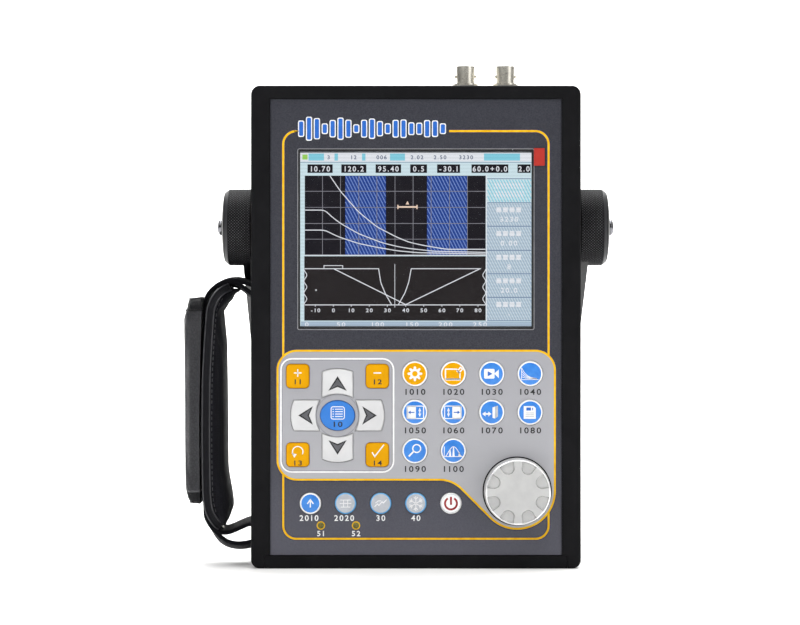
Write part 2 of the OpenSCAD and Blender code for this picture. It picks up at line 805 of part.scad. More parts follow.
module case_screws() {
    color("#5a5a5e") {
        both_sides() {
            for (z = boss_zs) translate([boss_x, back_y - screw_sink, z]) rotate([90, 0, 0])
                cap_screw(screw_r, back_y - screw_sink - ledge_back_y - seal_t, screw_head_h);
            for (z = post_zs) translate([post_x, main_front_y, z]) rotate([-90, 0, 0])
                cap_screw(screw_r, lug_h, screw_head_h);
            for (y = [lug_front_y, lug_rear_y]) translate([lug_screw_x, y, screw_sink])
                cap_screw(cover_screw_r, rim_bottom + lug_h - 2 * lug_skin - screw_sink, screw_head_h);
        }
        for (z = [door_z0 + door_screw_in, door_z1 - door_screw_in])
            translate([0, back_y - door_screw_head_h, z]) rotate([90, 0, 0])
                cap_screw(screw_r, wall, door_screw_head_h);
    }
}

// Front panel and display

function column_x(c) = function_x - (col_last - c) * function_pitch_x;
function row_z(r) = function_z - r * function_pitch_z;

module arrow_outline(grow) {
    difference() {
        intersection() {
            translate([-arrow_w / 2 - grow, 0]) square([arrow_w + 2 * grow, arrow_out + over]);
            translate([0, arrow_out - arrow_out_r]) circle(arrow_out_r + grow);
        }
        translate([0, arrow_in - arrow_in_r]) circle(arrow_in_r - grow);
    }
}

module menu_outline(grow) {
    polygon([for (i = [0:$fn - 1]) let (a = 360 * i / $fn)
        [(menu_w / 2 + grow) * cos(a), (menu_h / 2 + grow) * sin(a)]]);
}

module corner_outline(grow) {
    rounded_rect(corner_w + 2 * grow, corner_h + 2 * grow, corner_key_r + grow);
}

// Holes for the keys that stand in the overlay
module field_holes(grow) {
    translate([nav_x, nav_z]) {
        for (a = [0:90:270]) rotate(a) arrow_outline(grow);
        menu_outline(grow);
        for (sx = [-1, 1], sz = [-1, 1])
            translate([sx * corner_pitch_x / 2, sz * corner_pitch_z / 2]) corner_outline(grow);
    }
    for (r = [0:len(row_lasts) - 1], c = [0:row_lasts[r]])
        translate([column_x(c), row_z(r)]) circle(function_r + grow);
    translate([knob_x, knob_z]) circle(neck_r + grow);
}

module lower_holes(grow) {
    for (i = [0:lower_n - 1]) translate([lower_x + i * lower_pitch, lower_z]) circle(lower_r + grow);
    for (i = [0:lamp_n - 1]) translate([lamp_x + i * lower_pitch, lamp_z]) circle(lamp_r + lamp_gap);
}

module front_panel() {
    color("#42424a") along_y(panel_front_y, panel_back_y) difference() {
        opening(key_gap);
        translate([0, window_z]) square([window_w + 2 * seam, window_h + 2 * seam], center = true);
        field_holes(key_gap);
        lower_holes(key_gap);
    }
}

// Points of an arc about c from angle a0 to a1
function arc(c, r, a0, a1, n = 10) =
    [for (i = [0:n]) let (a = a0 + (a1 - a0) * i / n) [c[0] + r * cos(a), c[1] + r * sin(a)]];

// The overlay's edge goes round the knob, up the 45-degree run and along the lower side
knob_edge_r = overlay_x1 - knob_x;
run_sum = knob_x + knob_z - knob_edge_r * sqrt(2);
bend_z = overlay_z0 - overlay_bend_r;
bend_x = run_sum - bend_z - overlay_bend_r * sqrt(2);

module overlay_outline(grow) {
    r = overlay_r + grow;
    polygon(concat(
        arc([overlay_x1 - overlay_r, overlay_z1 - overlay_r], r, 0, 90),
        arc([overlay_x0 + overlay_r, overlay_z1 - overlay_r], r, 90, 180),
        arc([overlay_x0 + overlay_r, overlay_z0 + overlay_r], r, 180, 270),
        arc([bend_x, bend_z], overlay_bend_r - grow, 90, 45),
        arc([knob_x, knob_z], knob_edge_r + grow, 225, 360, 24)));
}

module keypad_overlay() {
    color("#b3b3b6") along_y(overlay_front_y, panel_front_y) difference() {
        overlay_outline(0);
        field_holes(key_gap);
        translate([knob_x, knob_z]) circle(neck_nut_r + key_gap);
    }
}

module display_window() {
    color("#20242c", 0.5) along_y(window_back_y - window_t, window_back_y)
        translate([0, window_z]) square([window_w, window_h], center = true);
}

module display_gasket() {
    color("#161616") along_y(panel_back_y, ledge_back_y) translate([0, window_z]) difference() {
        square([window_w + 2 * gasket_out, window_h + 2 * gasket_out], center = true);
        square([window_w - 2 * gasket_in, window_h - 2 * gasket_in], center = true);
    }
}

module lcd_module() {
    color("#8d9096") difference() {
        along_y(lcd_front_y, lcd_back_y) translate([0, window_z]) square([lcd_w, lcd_h], center = true);
        along_y(lcd_front_y - over, lcd_front_y + lcd_bezel_t) translate([0, window_z])
            square([lit_w, lit_h], center = true);
    }
}

// Outline of the mat and the keypad board, open round the encoder
module keypad_sheet() {
    difference() {
        translate([-board_x, board_z0]) square([2 * board_x, board_z1 - board_z0]);
        translate([knob_x, knob_z]) square(encoder_w + 2 * encoder_clear, center = true);
        for (i = [0:lamp_n - 1]) translate([lamp_x + i * lower_pitch, lamp_z]) circle(lamp_r + lamp_gap);
    }
}

module keypad_mat() {
    color("#d8d8d2") along_y(mat_front_y, mat_back_y) keypad_sheet();
}

module keypad_board() {
    color("#1f6b3a") {
        along_y(mat_back_y, key_board_back_y) keypad_sheet();
        for (i = [0:lamp_n - 1])
            rod_y(lamp_x + i * lower_pitch, lamp_z, panel_front_y - lamp_proud, key_board_back_y, lamp_r);
    }
}

// Keys

// Sleeve, bevelled face and flange of a key whose outline is a function of grow
module round_key(x, z, y0, r, tone) {
    color(tone) {
        rod_y(x, z, y0 + key_bevel, flange_back_y, r);
        translate([x, y0 + key_bevel, z]) rotate([90, 0, 0])
            cylinder(h = key_bevel, r1 = r, r2 = r - key_bevel);
        rod_y(x, z, flange_front_y, flange_back_y, r + flange_lap);
    }
}

module arrow_key(turn) {
    color("#f0f0f0") {
        along_y(field_key_y + key_bevel, flange_back_y)
            translate([nav_x, nav_z]) rotate(turn) arrow_outline(0);
        along_y(field_key_y, field_key_y + key_bevel)
            translate([nav_x, nav_z]) rotate(turn) arrow_outline(-key_bevel);
        along_y(flange_front_y, flange_back_y) translate([nav_x, nav_z]) rotate(turn)
            translate([-arrow_w / 2 - flange_lap, arrow_in + flange_lap])
            square([arrow_w + 2 * flange_lap, arrow_out - arrow_in]);
    }
}

module corner_key(sx, sz) {
    color("#fdb515") translate([nav_x + sx * corner_pitch_x / 2, 0, nav_z + sz * corner_pitch_z / 2]) {
        along_y(field_key_y + key_bevel, flange_back_y) corner_outline(0);
        along_y(field_key_y, field_key_y + key_bevel) corner_outline(-key_bevel);
        along_y(flange_front_y, flange_back_y) corner_outline(flange_lap);
    }
}

module function_key(c, r, tone) {
    round_key(column_x(c), row_z(r), field_key_y, function_r, tone);
}

module lower_key(i, tone) {
    round_key(lower_x + i * lower_pitch, lower_z, lower_key_y, lower_r, tone);
}

module key_up() { arrow_key(0); }
module key_left() { arrow_key(90); }
module key_down() { arrow_key(180); }
module key_right() { arrow_key(270); }
module key_menu() {
    color("#2f86e0") {
        along_y(field_key_y + key_bevel, flange_back_y) translate([nav_x, nav_z]) menu_outline(0);
        along_y(field_key_y, field_key_y + key_bevel) translate([nav_x, nav_z]) menu_outline(-key_bevel);
        along_y(flange_front_y, flange_back_y) translate([nav_x, nav_z]) menu_outline(flange_lap);
    }
}
module key_gain_up() { corner_key(-1, 1); }
module key_gain_down() { corner_key(1, 1); }
module key_back() { corner_key(-1, -1); }
module key_confirm() { corner_key(1, -1); }
module key_setup() { function_key(0, 0, "#fdb515"); }
module key_probe() { function_key(1, 0, "#fdb515"); }
module key_capture() { function_key(2, 0, "#3a8de8"); }
module key_curve() { function_key(3, 0, "#3a8de8"); }
module key_gate_a() { function_key(0, 1, "#3a8de8"); }
module key_gate_b() { function_key(1, 1, "#3a8de8"); }
module key_channel() { function_key(2, 1, "#3a8de8"); }
module key_report() { function_key(3, 1, "#3a8de8"); }
module key_zoom() { function_key(0, 2, "#3a8de8"); }
module key_peak() { function_key(1, 2, "#3a8de8"); }
module key_function() { lower_key(0, "#3a8de8"); }
module key_auto_gain() { lower_key(1, "#8fa6b8"); }
module key_step() { lower_key(2, "#8fa6b8"); }
module key_freeze() { lower_key(3, "#8fa6b8"); }
module key_power() { lower_key(4, "#f0f0f0"); }

// Jog knob and encoder

module jog_knob() {
    color("#d4d4d4") translate([knob_x, 0, knob_z]) difference() {
        translate([0, knob_back_y, 0]) rotate([90, 0, 0]) rotate_extrude() polygon([[0, 0], [knob_r, 0],
            [knob_r, knob_skirt_h], [knob_r - knob_step, knob_skirt_h + knob_step],
            [knob_r - knob_step, knob_h - knob_bevel], [knob_r - knob_step - knob_bevel, knob_h],
            [0, knob_h]]);
        rod_y(0, 0, knob_bay_y, knob_back_y + over, knob_bay_r);
        rod_y(0, 0, knob_front_y + knob_roof, knob_back_y, shaft_r + run_gap);
        for (i = [0:flute_n - 1]) rotate([0, 360 * (i + 0.5) / flute_n, 0]) {
            rod_y(flute_in, 0, knob_front_y - over, knob_front_y + flute_d, flute_w / 2);
            slab(flute_in, knob_r + over, knob_front_y - over, knob_front_y + flute_d,
                -flute_w / 2, flute_w / 2);
        }
    }
}

module encoder_shaft() {
    color("#b8b8bc") difference() {
        rod_y(knob_x, knob_z, shaft_front_y, shaft_back_y, shaft_r);
        slab(knob_x - shaft_r, knob_x + shaft_r, shaft_flat_y, shaft_back_y + over,
            knob_z + shaft_flat, knob_z + shaft_r + over);
    }
}

module encoder_rotor() {
    color("#2b2b30") difference() {
        rod_y(knob_x, knob_z, rotor_front_y, rotor_back_y, rotor_r);
        along_y(rotor_front_y - over, rotor_back_y + over) translate([knob_x, knob_z]) difference() {
            circle(shaft_r + run_gap);
            translate([-shaft_r - over, shaft_flat + run_gap]) square([2 * (shaft_r + over), shaft_r]);
        }
    }
}

module encoder_body() {
    color("#3a6f4f") difference() {
        union() {
            along_y(encoder_front_y, encoder_back_y) translate([knob_x, knob_z])
                square(encoder_w, center = true);
            rod_y(knob_x, knob_z, neck_tip_y, encoder_front_y + fuse, neck_r);
        }
        rod_y(knob_x, knob_z, neck_tip_y - over, rotor_front_y, shaft_r + run_gap);
        rod_y(knob_x, knob_z, rotor_front_y - rotor_gap, rotor_back_y + rotor_gap, rotor_r + rotor_gap);
    }
}

module hex_nut(r, h, bore) {
    difference() {
        cylinder(h = h, r = r, $fn = 6);
        translate([0, 0, -over]) cylinder(h = h + 2 * over, r = bore);
    }
}

module panel_nuts() {
    color("#c4c4c8") {
        for (x = jack_xs) translate([x, 0, case_h])
            hex_nut(jack_nut_w / 2, jack_nut_t, jack_thread_r + screw_gap);
        translate([knob_x, panel_front_y, knob_z]) rotate([90, 0, 0])
            hex_nut(neck_nut_r, neck_nut_t, neck_r + screw_gap);
    }
}

// Inside the case

module main_board() {
    color("#1d5f3c") {
        difference() {
            slab(-main_w / 2, main_w / 2, main_front_y, main_back_y, main_z, main_z + main_h);
            both_sides() for (z = post_zs)
                rod_y(post_x, z, main_front_y - over, main_back_y + over, screw_r + screw_gap);
        }
        slab(-can_w - plug_w / 2, -plug_w / 2, main_back_y, main_back_y + can_t, can_z, can_z + can_h);
        slab(0, chip_w, main_front_y - chip_t, main_front_y, chip_z - chip_w, chip_z);
        slab(-chip_w - plug_w, -plug_w, main_front_y - chip_t, main_front_y, chip_z - chip_w, chip_z);
        for (x = jack_xs) slab(x - plug_w / 2, x + plug_w / 2, main_back_y, main_back_y + plug_t,
            main_z + main_h - 2 * plug_h, main_z + main_h - plug_h);
        slab(lead_x - plug_w / 2, lead_x + plug_w / 2, main_back_y, main_back_y + plug_t,
            battery_z + battery_h + lead_rise, battery_z + battery_h + lead_rise + plug_w);
        for (z = [display_ribbon_z, key_ribbon_z])
            slab(-ribbon_w / 2, ribbon_w / 2, main_front_y - ribbon_plug_t, main_front_y,
                z - ribbon_plug_t, z + ribbon_plug_t);
        rod_y(buzzer_x, buzzer_z, main_back_y, main_back_y + buzzer_h, buzzer_r);
    }
}

module battery_pack() {
    color("#2d4f8e") along_y(bay_y + battery_air, door_y - battery_air)
        translate([0, battery_z + battery_h / 2])
        rounded_rect(battery_w - 2 * battery_air, battery_h - 2 * battery_air, battery_corner_r);
}

module battery_door() {
    color("#262628") difference() {
        slab(-door_x, door_x, door_y, back_y, door_z0, door_z1);
        for (z = [door_z0 + door_screw_in, door_z1 - door_screw_in]) {
            rod_y(0, z, door_y - over, back_y + over, screw_r + screw_gap);
            rod_y(0, z, back_y - door_screw_head_h, back_y + over, screw_head_r + screw_gap);
        }
    }
}

function unit(v) = v / norm(v);

// Tube of radius r along points that lie in one plane with normal side
module lead_tube(points, r, side) {
    last = len(points) - 1;
    rings = [for (i = [0:last])
        let (t = unit(points[min(i + 1, last)] - points[max(i - 1, 0)]), up = cross(t, side))
        [for (k = [0:lead_sides - 1]) let (a = 360 * k / lead_sides)
            points[i] + r * (cos(a) * side + sin(a) * up)]];
    loft(rings);
}

// Closed solid through rings of points, each ring the same way round
module loft(rings) {
    n = len(rings[0]);
    m = len(rings);
    polyhedron(
        points = [for (ring = rings) each ring],
        faces = concat(
            [for (i = [0:m - 2], k = [0:n - 1]) [i * n + k, (i + 1) * n + (k + 1) % n, i * n + (k + 1) % n]],
            [for (i = [0:m - 2], k = [0:n - 1]) [i * n + k, (i + 1) * n + k, (i + 1) * n + (k + 1) % n]],
            [for (k = [1:n - 2]) [0, k, k + 1]],
            [for (k = [1:n - 2]) [(m - 1) * n, (m - 1) * n + k + 1, (m - 1) * n + k]]));
}

// Cubic curve through p[0] and p[3], drawn towards p[1] and p[2]
function bend(p, t) = pow(1 - t, 3) * p[0] + 3 * pow(1 - t, 2) * t * p[1]
    + 3 * (1 - t) * t * t * p[2] + pow(t, 3) * p[3];
function bend_points(p, n) = [for (i = [0:n]) bend(p, i / n)];

coax_top_z = case_h - wall - jack_seat_h - jack_tail_h;
coax_low_z = main_z + main_h - plug_h;
coax_y = main_back_y + plug_t / 2;
lead_top_z = battery_z + battery_h + lead_rise + plug_w / 2;

module wiring_harness() {
    color("#1a1a1c") {
        for (x = jack_xs) lead_tube(bend_points([[x, 0, coax_top_z], [x, 0, coax_top_z - lead_rise / 2],
            [x, coax_y, coax_low_z + lead_rise / 2], [x, coax_y, coax_low_z]], lead_steps),
            coax_r, [1, 0, 0]);
        lead_tube(bend_points([[lead_x, lead_y, battery_z + battery_h - battery_air],
            [lead_x, lead_y, lead_top_z], [lead_x, lead_y / 2, lead_top_z],
            [lead_x, main_back_y + plug_t, lead_top_z]], lead_steps), lead_r, [1, 0, 0]);
        slab(-ribbon_w / 2, ribbon_w / 2, lcd_back_y, main_front_y - ribbon_plug_t,
            display_ribbon_z, display_ribbon_z + ribbon_t);
        slab(-ribbon_w / 2, ribbon_w / 2, key_board_back_y, main_front_y - ribbon_plug_t,
            key_ribbon_z, key_ribbon_z + ribbon_t);
    }
}

// Probe jacks and ports

module jack_shells() {
    color("#cfcfd2") for (x = jack_xs) difference() {
        union() {
            rod_z(x, 0, case_h - wall - jack_seat_h, case_h - wall, jack_seat_r);
            rod_z(x, 0, case_h - wall - fuse, case_h + jack_neck_h, jack_thread_r);
            rod_z(x, 0, case_h, jack_land_z, jack_r - jack_relief);
            rod_z(x, 0, jack_land_z, jack_top_z, jack_r);
            rod_x(0, lug_z, x - lug_span / 2, x + lug_span / 2, lug_r);
        }
        rod_z(x, 0, case_h - wall, jack_top_z + over, jack_bore_r);
        rod_z(x, 0, case_h - wall - jack_seat_h - over, case_h, jack_core_r);
    }
}

module jack_insulators() {
    color("#ece7dc") for (x = jack_xs) difference() {
        union() {
            rod_z(x, 0, case_h - wall, jack_top_z - jack_h + jack_roof, jack_bore_r - jack_core_skin);
            rod_z(x, 0, case_h - wall - jack_seat_h, jack_top_z - jack_core_drop,
                jack_core_r - jack_core_skin);
            rod_z(x, 0, coax_top_z, case_h - wall - jack_seat_h + fuse, jack_tail_r);
        }
        rod_z(x, 0, case_h + jack_roof, jack_top_z, jack_pin_r);
    }
}

module io_ports() {
    seat_z = case_h - wall;
    color("#9a9da2") {
        difference() {
            union() {
                slab(flap_x - port_shift - usb_w / 2, flap_x - port_shift + usb_w / 2, -usb_d / 2, usb_d / 2,
                    case_h - usb_h, case_h - port_drop);
                slab(flap_x - port_shift - usb_w / 2 - port_lip, flap_x - port_shift + usb_w / 2 + port_lip,
                    -usb_d / 2 - port_lip, usb_d / 2 + port_lip, seat_z - port_seat_h, seat_z);
            }
            slab(flap_x - port_shift - usb_hole_w / 2, flap_x - port_shift + usb_hole_w / 2, -usb_hole_d / 2,
                usb_hole_d / 2, case_h - port_drop - usb_hole_h, case_h);
        }
        slab(flap_x - port_shift - tongue_w / 2, flap_x - port_shift + tongue_w / 2, -tongue_d / 2,
            tongue_d / 2, case_h - usb_h + fuse, case_h - 2 * port_drop);
        difference() {
            union() {
                rod_z(flap_x + port_shift, 0, case_h - usb_h, case_h - port_drop, dc_r);
                rod_z(flap_x + port_shift, 0, seat_z - port_seat_h, seat_z, dc_r + port_lip);
            }
            rod_z(flap_x + port_shift, 0, case_h - port_drop - usb_hole_h, case_h, dc_hole_r);
        }
        rod_z(flap_x + port_shift, 0, case_h - usb_h + fuse, case_h - 2 * port_drop, dc_pin_r);
    }
}

module port_flap() {
    color("#19191b") {
        translate([flap_x, 0, flap_z0]) linear_extrude(flap_t) rounded_rect(flap_w, flap_d, flap_corner_r);
        slab(flap_x - flap_w / 2 + flap_corner_r, flap_x + flap_w / 2 - flap_corner_r,
            flap_d / 2 - fuse, hinge_y, flap_z0, flap_z0 + flap_t);
        rod_x(hinge_y, hinge_z, flap_x - flap_w / 2, flap_x + flap_w / 2, flap_knuckle_r);
        rod_x(hinge_y, hinge_z, flap_x - flap_w / 2 - ear_gap - ear_t, flap_x + flap_w / 2 + ear_gap + ear_t,
            flap_stub_r);
    }
}

// Bail handle

// The handle's own frame: pivot at the origin, arms along +y, turned to its rest angle
module at_rest() {
    translate([0, 0, pivot_z]) rotate([-arm_rest_deg, 0, 0]) children();
}

// Outline of an arm: two round ends and the quadrilateral tangent to both
module arm_outline() {
    a = acos((hub_r - arm_end_r) / arm_l);
    circle(hub_r);
    translate([arm_l, 0]) circle(arm_end_r);
    polygon([[hub_r * cos(a), hub_r * sin(a)], [arm_l + arm_end_r * cos(a), arm_end_r * sin(a)],
        [arm_l + arm_end_r * cos(a), -arm_end_r * sin(a)], [hub_r * cos(a), -hub_r * sin(a)]]);
}

module bail_handle() {
    color("#1b1b1d") at_rest() {
        both_sides() difference() {
            along_x(arm_x0, arm_x1) arm_outline();
            rod_x(0, 0, arm_x0 - over, arm_x1 + over, stud_r + run_gap);
        }
        rod_x(arm_l, 0, -arm_x0 - fuse, arm_x0 + fuse, crossbar_r);
    }
}

module bail_grip() {
    color("#141416") at_rest() difference() {
        rod_x(arm_l, 0, -grip_l / 2, grip_l / 2, grip_r);
        rod_x(arm_l, 0, -grip_l / 2 - over, grip_l / 2 + over, crossbar_r + grip_skin);
    }
}

module hub_drums() {
    color("#26262a") both_sides() difference() {
        rod_x(0, pivot_z, arm_x1, drum_x1, hub_r);
        rod_x(0, pivot_z, arm_x1 - over, drum_x1 + over, stud_r + run_gap);
    }
}

// Cap with a bevelled rim and a shallow dome, turned about the pivot
module hub_caps() {
    color("#1f1f22") both_sides() translate([drum_x1, 0, pivot_z]) rotate([0, 90, 0]) rotate_extrude()
        polygon(concat([[retainer_r + run_gap, 0], [hub_r, 0]],
            [for (i = [0:cap_steps]) let (a = cap_top_deg * i / cap_steps)
                [cap_dome_r * cos(a), cap_rim_h + cap_dome_h * sin(a) / sin(cap_top_deg)]]));
}

module pivot_studs() {
    color("#8b8b90") both_sides() difference() {
        union() {
            rod_x(0, pivot_z, inner_x - stud_flange_t, inner_x, stud_flange_r);
            rod_x(0, pivot_z, inner_x - fuse, stud_x1, stud_r);
        }
        rod_x(0, pivot_z, stud_x1 - retainer_depth - over, stud_x1 + over, retainer_r + run_gap);
    }
}

module friction_washers() {
    color("#7d6a45") both_sides() difference() {
        rod_x(0, pivot_z, half_w, half_w + washer_t, washer_r);
        rod_x(0, pivot_z, half_w - over, half_w + washer_t + over, stud_r + run_gap);
    }
}

module retaining_screws() {
    color("#e0e0e4") both_sides() difference() {
        union() {
            rod_x(0, pivot_z, stud_x1 - retainer_depth, cap_x1 + side_gap + fuse, retainer_r);
            rod_x(0, pivot_z, cap_x1 + side_gap, cap_x1 + side_gap + retainer_head_h, retainer_head_r);
        }
        slab(cap_x1 + side_gap + retainer_head_h - retainer_slot_d,
            cap_x1 + side_gap + retainer_head_h + over, -retainer_head_r - over, retainer_head_r + over,
            pivot_z - retainer_slot_w / 2, pivot_z + retainer_slot_w / 2);
    }
}

// Hand strap, on the left side

// Place across the case of the seam between the pad and its outer panel, at height z
function seam_x(z) = -half_w - strap_out
    + strap_bend * pow(abs(z - strap_mid_z) / strap_half_z, strap_bend_power);

// Point given by its shares of strap_out from the case's side and from the bar at height z
function drawn(shares, z) = [-half_w - strap_out * shares[0], z + strap_out * shares[1]];

// Runs of the webbing in x and z: over the top, down the seam, under the bottom, and the two short ends
upper_run = [upper_loop + [0, upper_loop_r + web_t / 2], drawn(upper_run_shares[0], strap_top_z),
    drawn(upper_run_shares[1], strap_top_z), [seam_x(channel_z1), channel_z1]];
lower_run = [[seam_x(channel_z0), channel_z0], drawn(lower_run_shares[0], strap_low_z),
    drawn(lower_run_shares[1], strap_low_z), lower_loop - [0, lower_loop_r + web_t / 2]];
upper_end = [upper_loop - [0, upper_loop_r + web_t / 2], drawn(upper_end_shares[0], strap_top_z),
    drawn(upper_end_shares[1], strap_top_z), drawn(upper_end_shares[2], strap_top_z)];
lower_end = [lower_loop + [0, lower_loop_r + web_t / 2], drawn(lower_end_shares[0], strap_low_z),
    drawn(lower_end_shares[1], strap_low_z), drawn(lower_end_shares[2], strap_low_z)];
channel = [for (i = [0:channel_steps]) let (z = channel_z1 + (channel_z0 - channel_z1) * i / channel_steps)
    [seam_x(z), z]];
main_run = concat(bend_points(upper_run, web_steps), [for (i = [1:channel_steps - 1]) channel[i]],
    bend_points(lower_run, web_steps));

// Strip of thickness t along points, its sides square to the run
function run_side(p, i) = let (d = unit(p[min(i + 1, len(p) - 1)] - p[max(i - 1, 0)])) [-d[1], d[0]];
function strip(p, t) = concat([for (i = [0:len(p) - 1]) p[i] + run_side(p, i) * t / 2],
    [for (i = [len(p) - 1:-1:0]) p[i] - run_side(p, i) * t / 2]);

// All the webbing, w wide and t thick
module webbing(w, t) {
    rotate([90, 0, 0]) translate([0, 0, -w / 2]) linear_extrude(w) {
        polygon(strip(main_run, t));
        polygon(strip(bend_points(upper_end, web_steps), t));
        polygon(strip(bend_points(lower_end, web_steps), t));
        polygon(strip(arc(upper_loop, upper_loop_r + web_t / 2, -90, 90, loop_steps), t));
        polygon(strip(arc(lower_loop, lower_loop_r + web_t / 2, -90, 90, loop_steps), t));
    }
}

// Places its children on the curve p, with +z towards the outside of the strap
module rivet_at(p, share) {
    at = bend(p, share);
    d = bend(p, share + curve_step) - bend(p, share - curve_step);
    translate([at[0], 0, at[1]]) rotate([0, 180 - atan2(d[1], d[0]), 0]) children();
}

module each_rivet() {
    rivet_at(upper_run, rivet_up_share) children();
    rivet_at(lower_run, rivet_low_share) children();
}

// Room for a rivet, from under its inner head to over its outer one
module rivet_room(r) {
    each_rivet() translate([0, 0, web_t / 2 - rivet_grip - rivet_head])
        cylinder(h = rivet_grip + 3 * rivet_head, r = r);
}

module strap_webbing() {
    color("#141418") difference() {
        webbing(web_w, web_t);
        rivet_room(rivet_shank_r + web_air);
    }
}

// Rings of a cushion on the seam: flat against it, crowned on the other side, drawn in at both ends
function cushion_rings(shares, z0, z1, t, w, way, gap) = [for (s = shares)
    let (z = z0 + (z1 - z0) * s[0], x = seam_x(z) + way * gap)
    [for (k = [0:soft_sides - 1]) let (a = way * (90 - 180 * k / (soft_sides - 1)))
        [x + way * t * s[1] * pow(max(cos(a), 0), crown_power),
            w / 2 * s[2] * sign(sin(a)) * pow(abs(sin(a)), side_power), z]]];

module strap_pad() {
    color("#17171b") difference() {
        loft(cushion_rings(pad_shares, pad_z0, pad_z1, pad_t, pad_w, 1, 0));
        webbing(web_w + 2 * channel_air, web_t + 2 * channel_air);
        rivet_room(rivet_r + web_air);
    }
}

module strap_cover() {
    color("#45454a") difference() {
        loft(cushion_rings(cover_shares, cover_z0, cover_z1, cover_crown, pad_w, -1, cover_split));
        webbing(web_w + 2 * channel_air, web_t + 2 * channel_air);
        rivet_room(rivet_r + web_air);
    }
}

module strap_hardware() {
    color("#b0b0b4") {
        for (z = [strap_top_z, strap_low_z])
            rod_y(bar_x, z, -web_w / 2 - over - pocket_rim / 2, web_w / 2 + over + pocket_rim / 2, bar_r);
        each_rivet() {
            translate([0, 0, web_t / 2 + web_air]) cylinder(h = rivet_head, r = rivet_r);
            translate([0, 0, web_t / 2 - rivet_grip])
                cylinder(h = rivet_grip + web_air + fuse, r = rivet_shank_r);
            translate([0, 0, web_t / 2 - rivet_grip - rivet_head + fuse])
                cylinder(h = rivet_head, r = rivet_r);
        }
    }
}

front_frame();
rear_shell();
bottom_cover();
case_gasket();
case_screws();
front_panel();
keypad_overlay();
display_window();
display_gasket();
lcd_module();
keypad_mat();
keypad_board();
key_up();
key_down();
key_left();
key_right();
key_menu();
key_gain_up();
key_gain_down();
key_back();
key_confirm();
key_setup();
key_probe();
key_capture();
key_curve();
key_gate_a();
key_gate_b();
key_channel();
key_report();
key_zoom();
key_peak();
key_function();
key_auto_gain();
key_step();
key_freeze();
key_power();
jog_knob();
encoder_shaft();
encoder_rotor();
encoder_body();
panel_nuts();
main_board();
battery_pack();
battery_door();
wiring_harness();
jack_shells();
jack_insulators();
io_ports();
port_flap();
bail_handle();
bail_grip();
hub_drums();
hub_caps();
pivot_studs();
friction_washers();
retaining_screws();
strap_webbing();
strap_pad();
strap_cover();
strap_hardware();
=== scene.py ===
# %% [markdown]
# # A hand-held ultrasonic flaw detector
#
# The instrument is a black case with a slate front panel, a colour screen, a grey key field, a silver
# jog knob, two probe jacks, a swinging bail handle on knurled hubs and a padded hand strap.
#
# The case, keys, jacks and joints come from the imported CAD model, which is the fixed frame. This script
# gives them their finishes, and computes the pieces whose looks need finer surfaces: prints, icons, the
# picture on the screen, the fluted knob, the knurls, the rubber grip and the strap's soft parts.

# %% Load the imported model
import math
import bmesh
import bpy
import numpy as np
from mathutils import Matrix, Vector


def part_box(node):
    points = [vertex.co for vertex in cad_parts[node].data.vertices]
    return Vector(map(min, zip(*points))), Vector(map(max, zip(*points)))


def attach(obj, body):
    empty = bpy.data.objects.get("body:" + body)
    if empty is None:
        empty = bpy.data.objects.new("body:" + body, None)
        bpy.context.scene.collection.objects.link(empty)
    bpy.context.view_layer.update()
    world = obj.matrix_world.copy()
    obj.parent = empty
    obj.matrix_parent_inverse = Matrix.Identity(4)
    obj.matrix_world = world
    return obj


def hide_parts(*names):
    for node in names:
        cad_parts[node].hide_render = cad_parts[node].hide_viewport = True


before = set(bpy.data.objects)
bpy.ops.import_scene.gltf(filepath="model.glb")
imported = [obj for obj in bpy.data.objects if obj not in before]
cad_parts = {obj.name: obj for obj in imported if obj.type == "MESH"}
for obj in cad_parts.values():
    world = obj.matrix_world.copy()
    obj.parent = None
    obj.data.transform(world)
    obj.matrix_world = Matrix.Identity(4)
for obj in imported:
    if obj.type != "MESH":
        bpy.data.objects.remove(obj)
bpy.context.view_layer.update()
MM = 0.001

# %% [markdown]
# ## Camera
#
# The photograph was taken from straight in front and a little left of the middle, with a long lens: the
# hubs at mid depth are only 2 per cent smaller than the front panel. A camera at the same distance and
# height gives the same perspective, so every pixel of the photograph has its place on a plane. The plain
# sRGB view is used, because the photograph is one of a product on white paper, without a film's curve.

# %% Camera at the photograph's place
CAMERA_AT = (-7.9, -1428.0, 127.2)
LENS_MM, SENSOR_MM = 126.9, 36.0
FRAME_PX = (800, 625)

camera_data = bpy.data.cameras.new("camera")
camera_data.lens, camera_data.sensor_width = LENS_MM, SENSOR_MM
camera_data.clip_start, camera_data.clip_end = 0.01, 50.0
camera = bpy.data.objects.new("camera", camera_data)
camera.location = [value * MM for value in CAMERA_AT]
camera.rotation_euler = (math.pi / 2, 0.0, 0.0)
bpy.context.collection.objects.link(camera)
bpy.context.scene.camera = camera
bpy.context.scene.view_settings.view_transform = "Standard"


def on_plane(px, py, y):
    """Place (x, z) in mm of a photograph's pixel on the plane at depth y.

    Pixels per mm are the lens's focal length in pixels over the distance to the plane."""
    scale = LENS_MM / SENSOR_MM * FRAME_PX[0] / (y - CAMERA_AT[1])
    return (CAMERA_AT[0] + (px - FRAME_PX[0] / 2) / scale, CAMERA_AT[2] + (FRAME_PX[1] / 2 - py) / scale)


# %% [markdown]
# ## Numbers and shader nodes
#
# Colours are written as the sRGB hex values that a picture shows, and one function turns them to the
# linear values that a renderer adds up. One small function adds any shader node with its settings and
# links, so each finish below reads as a short recipe.

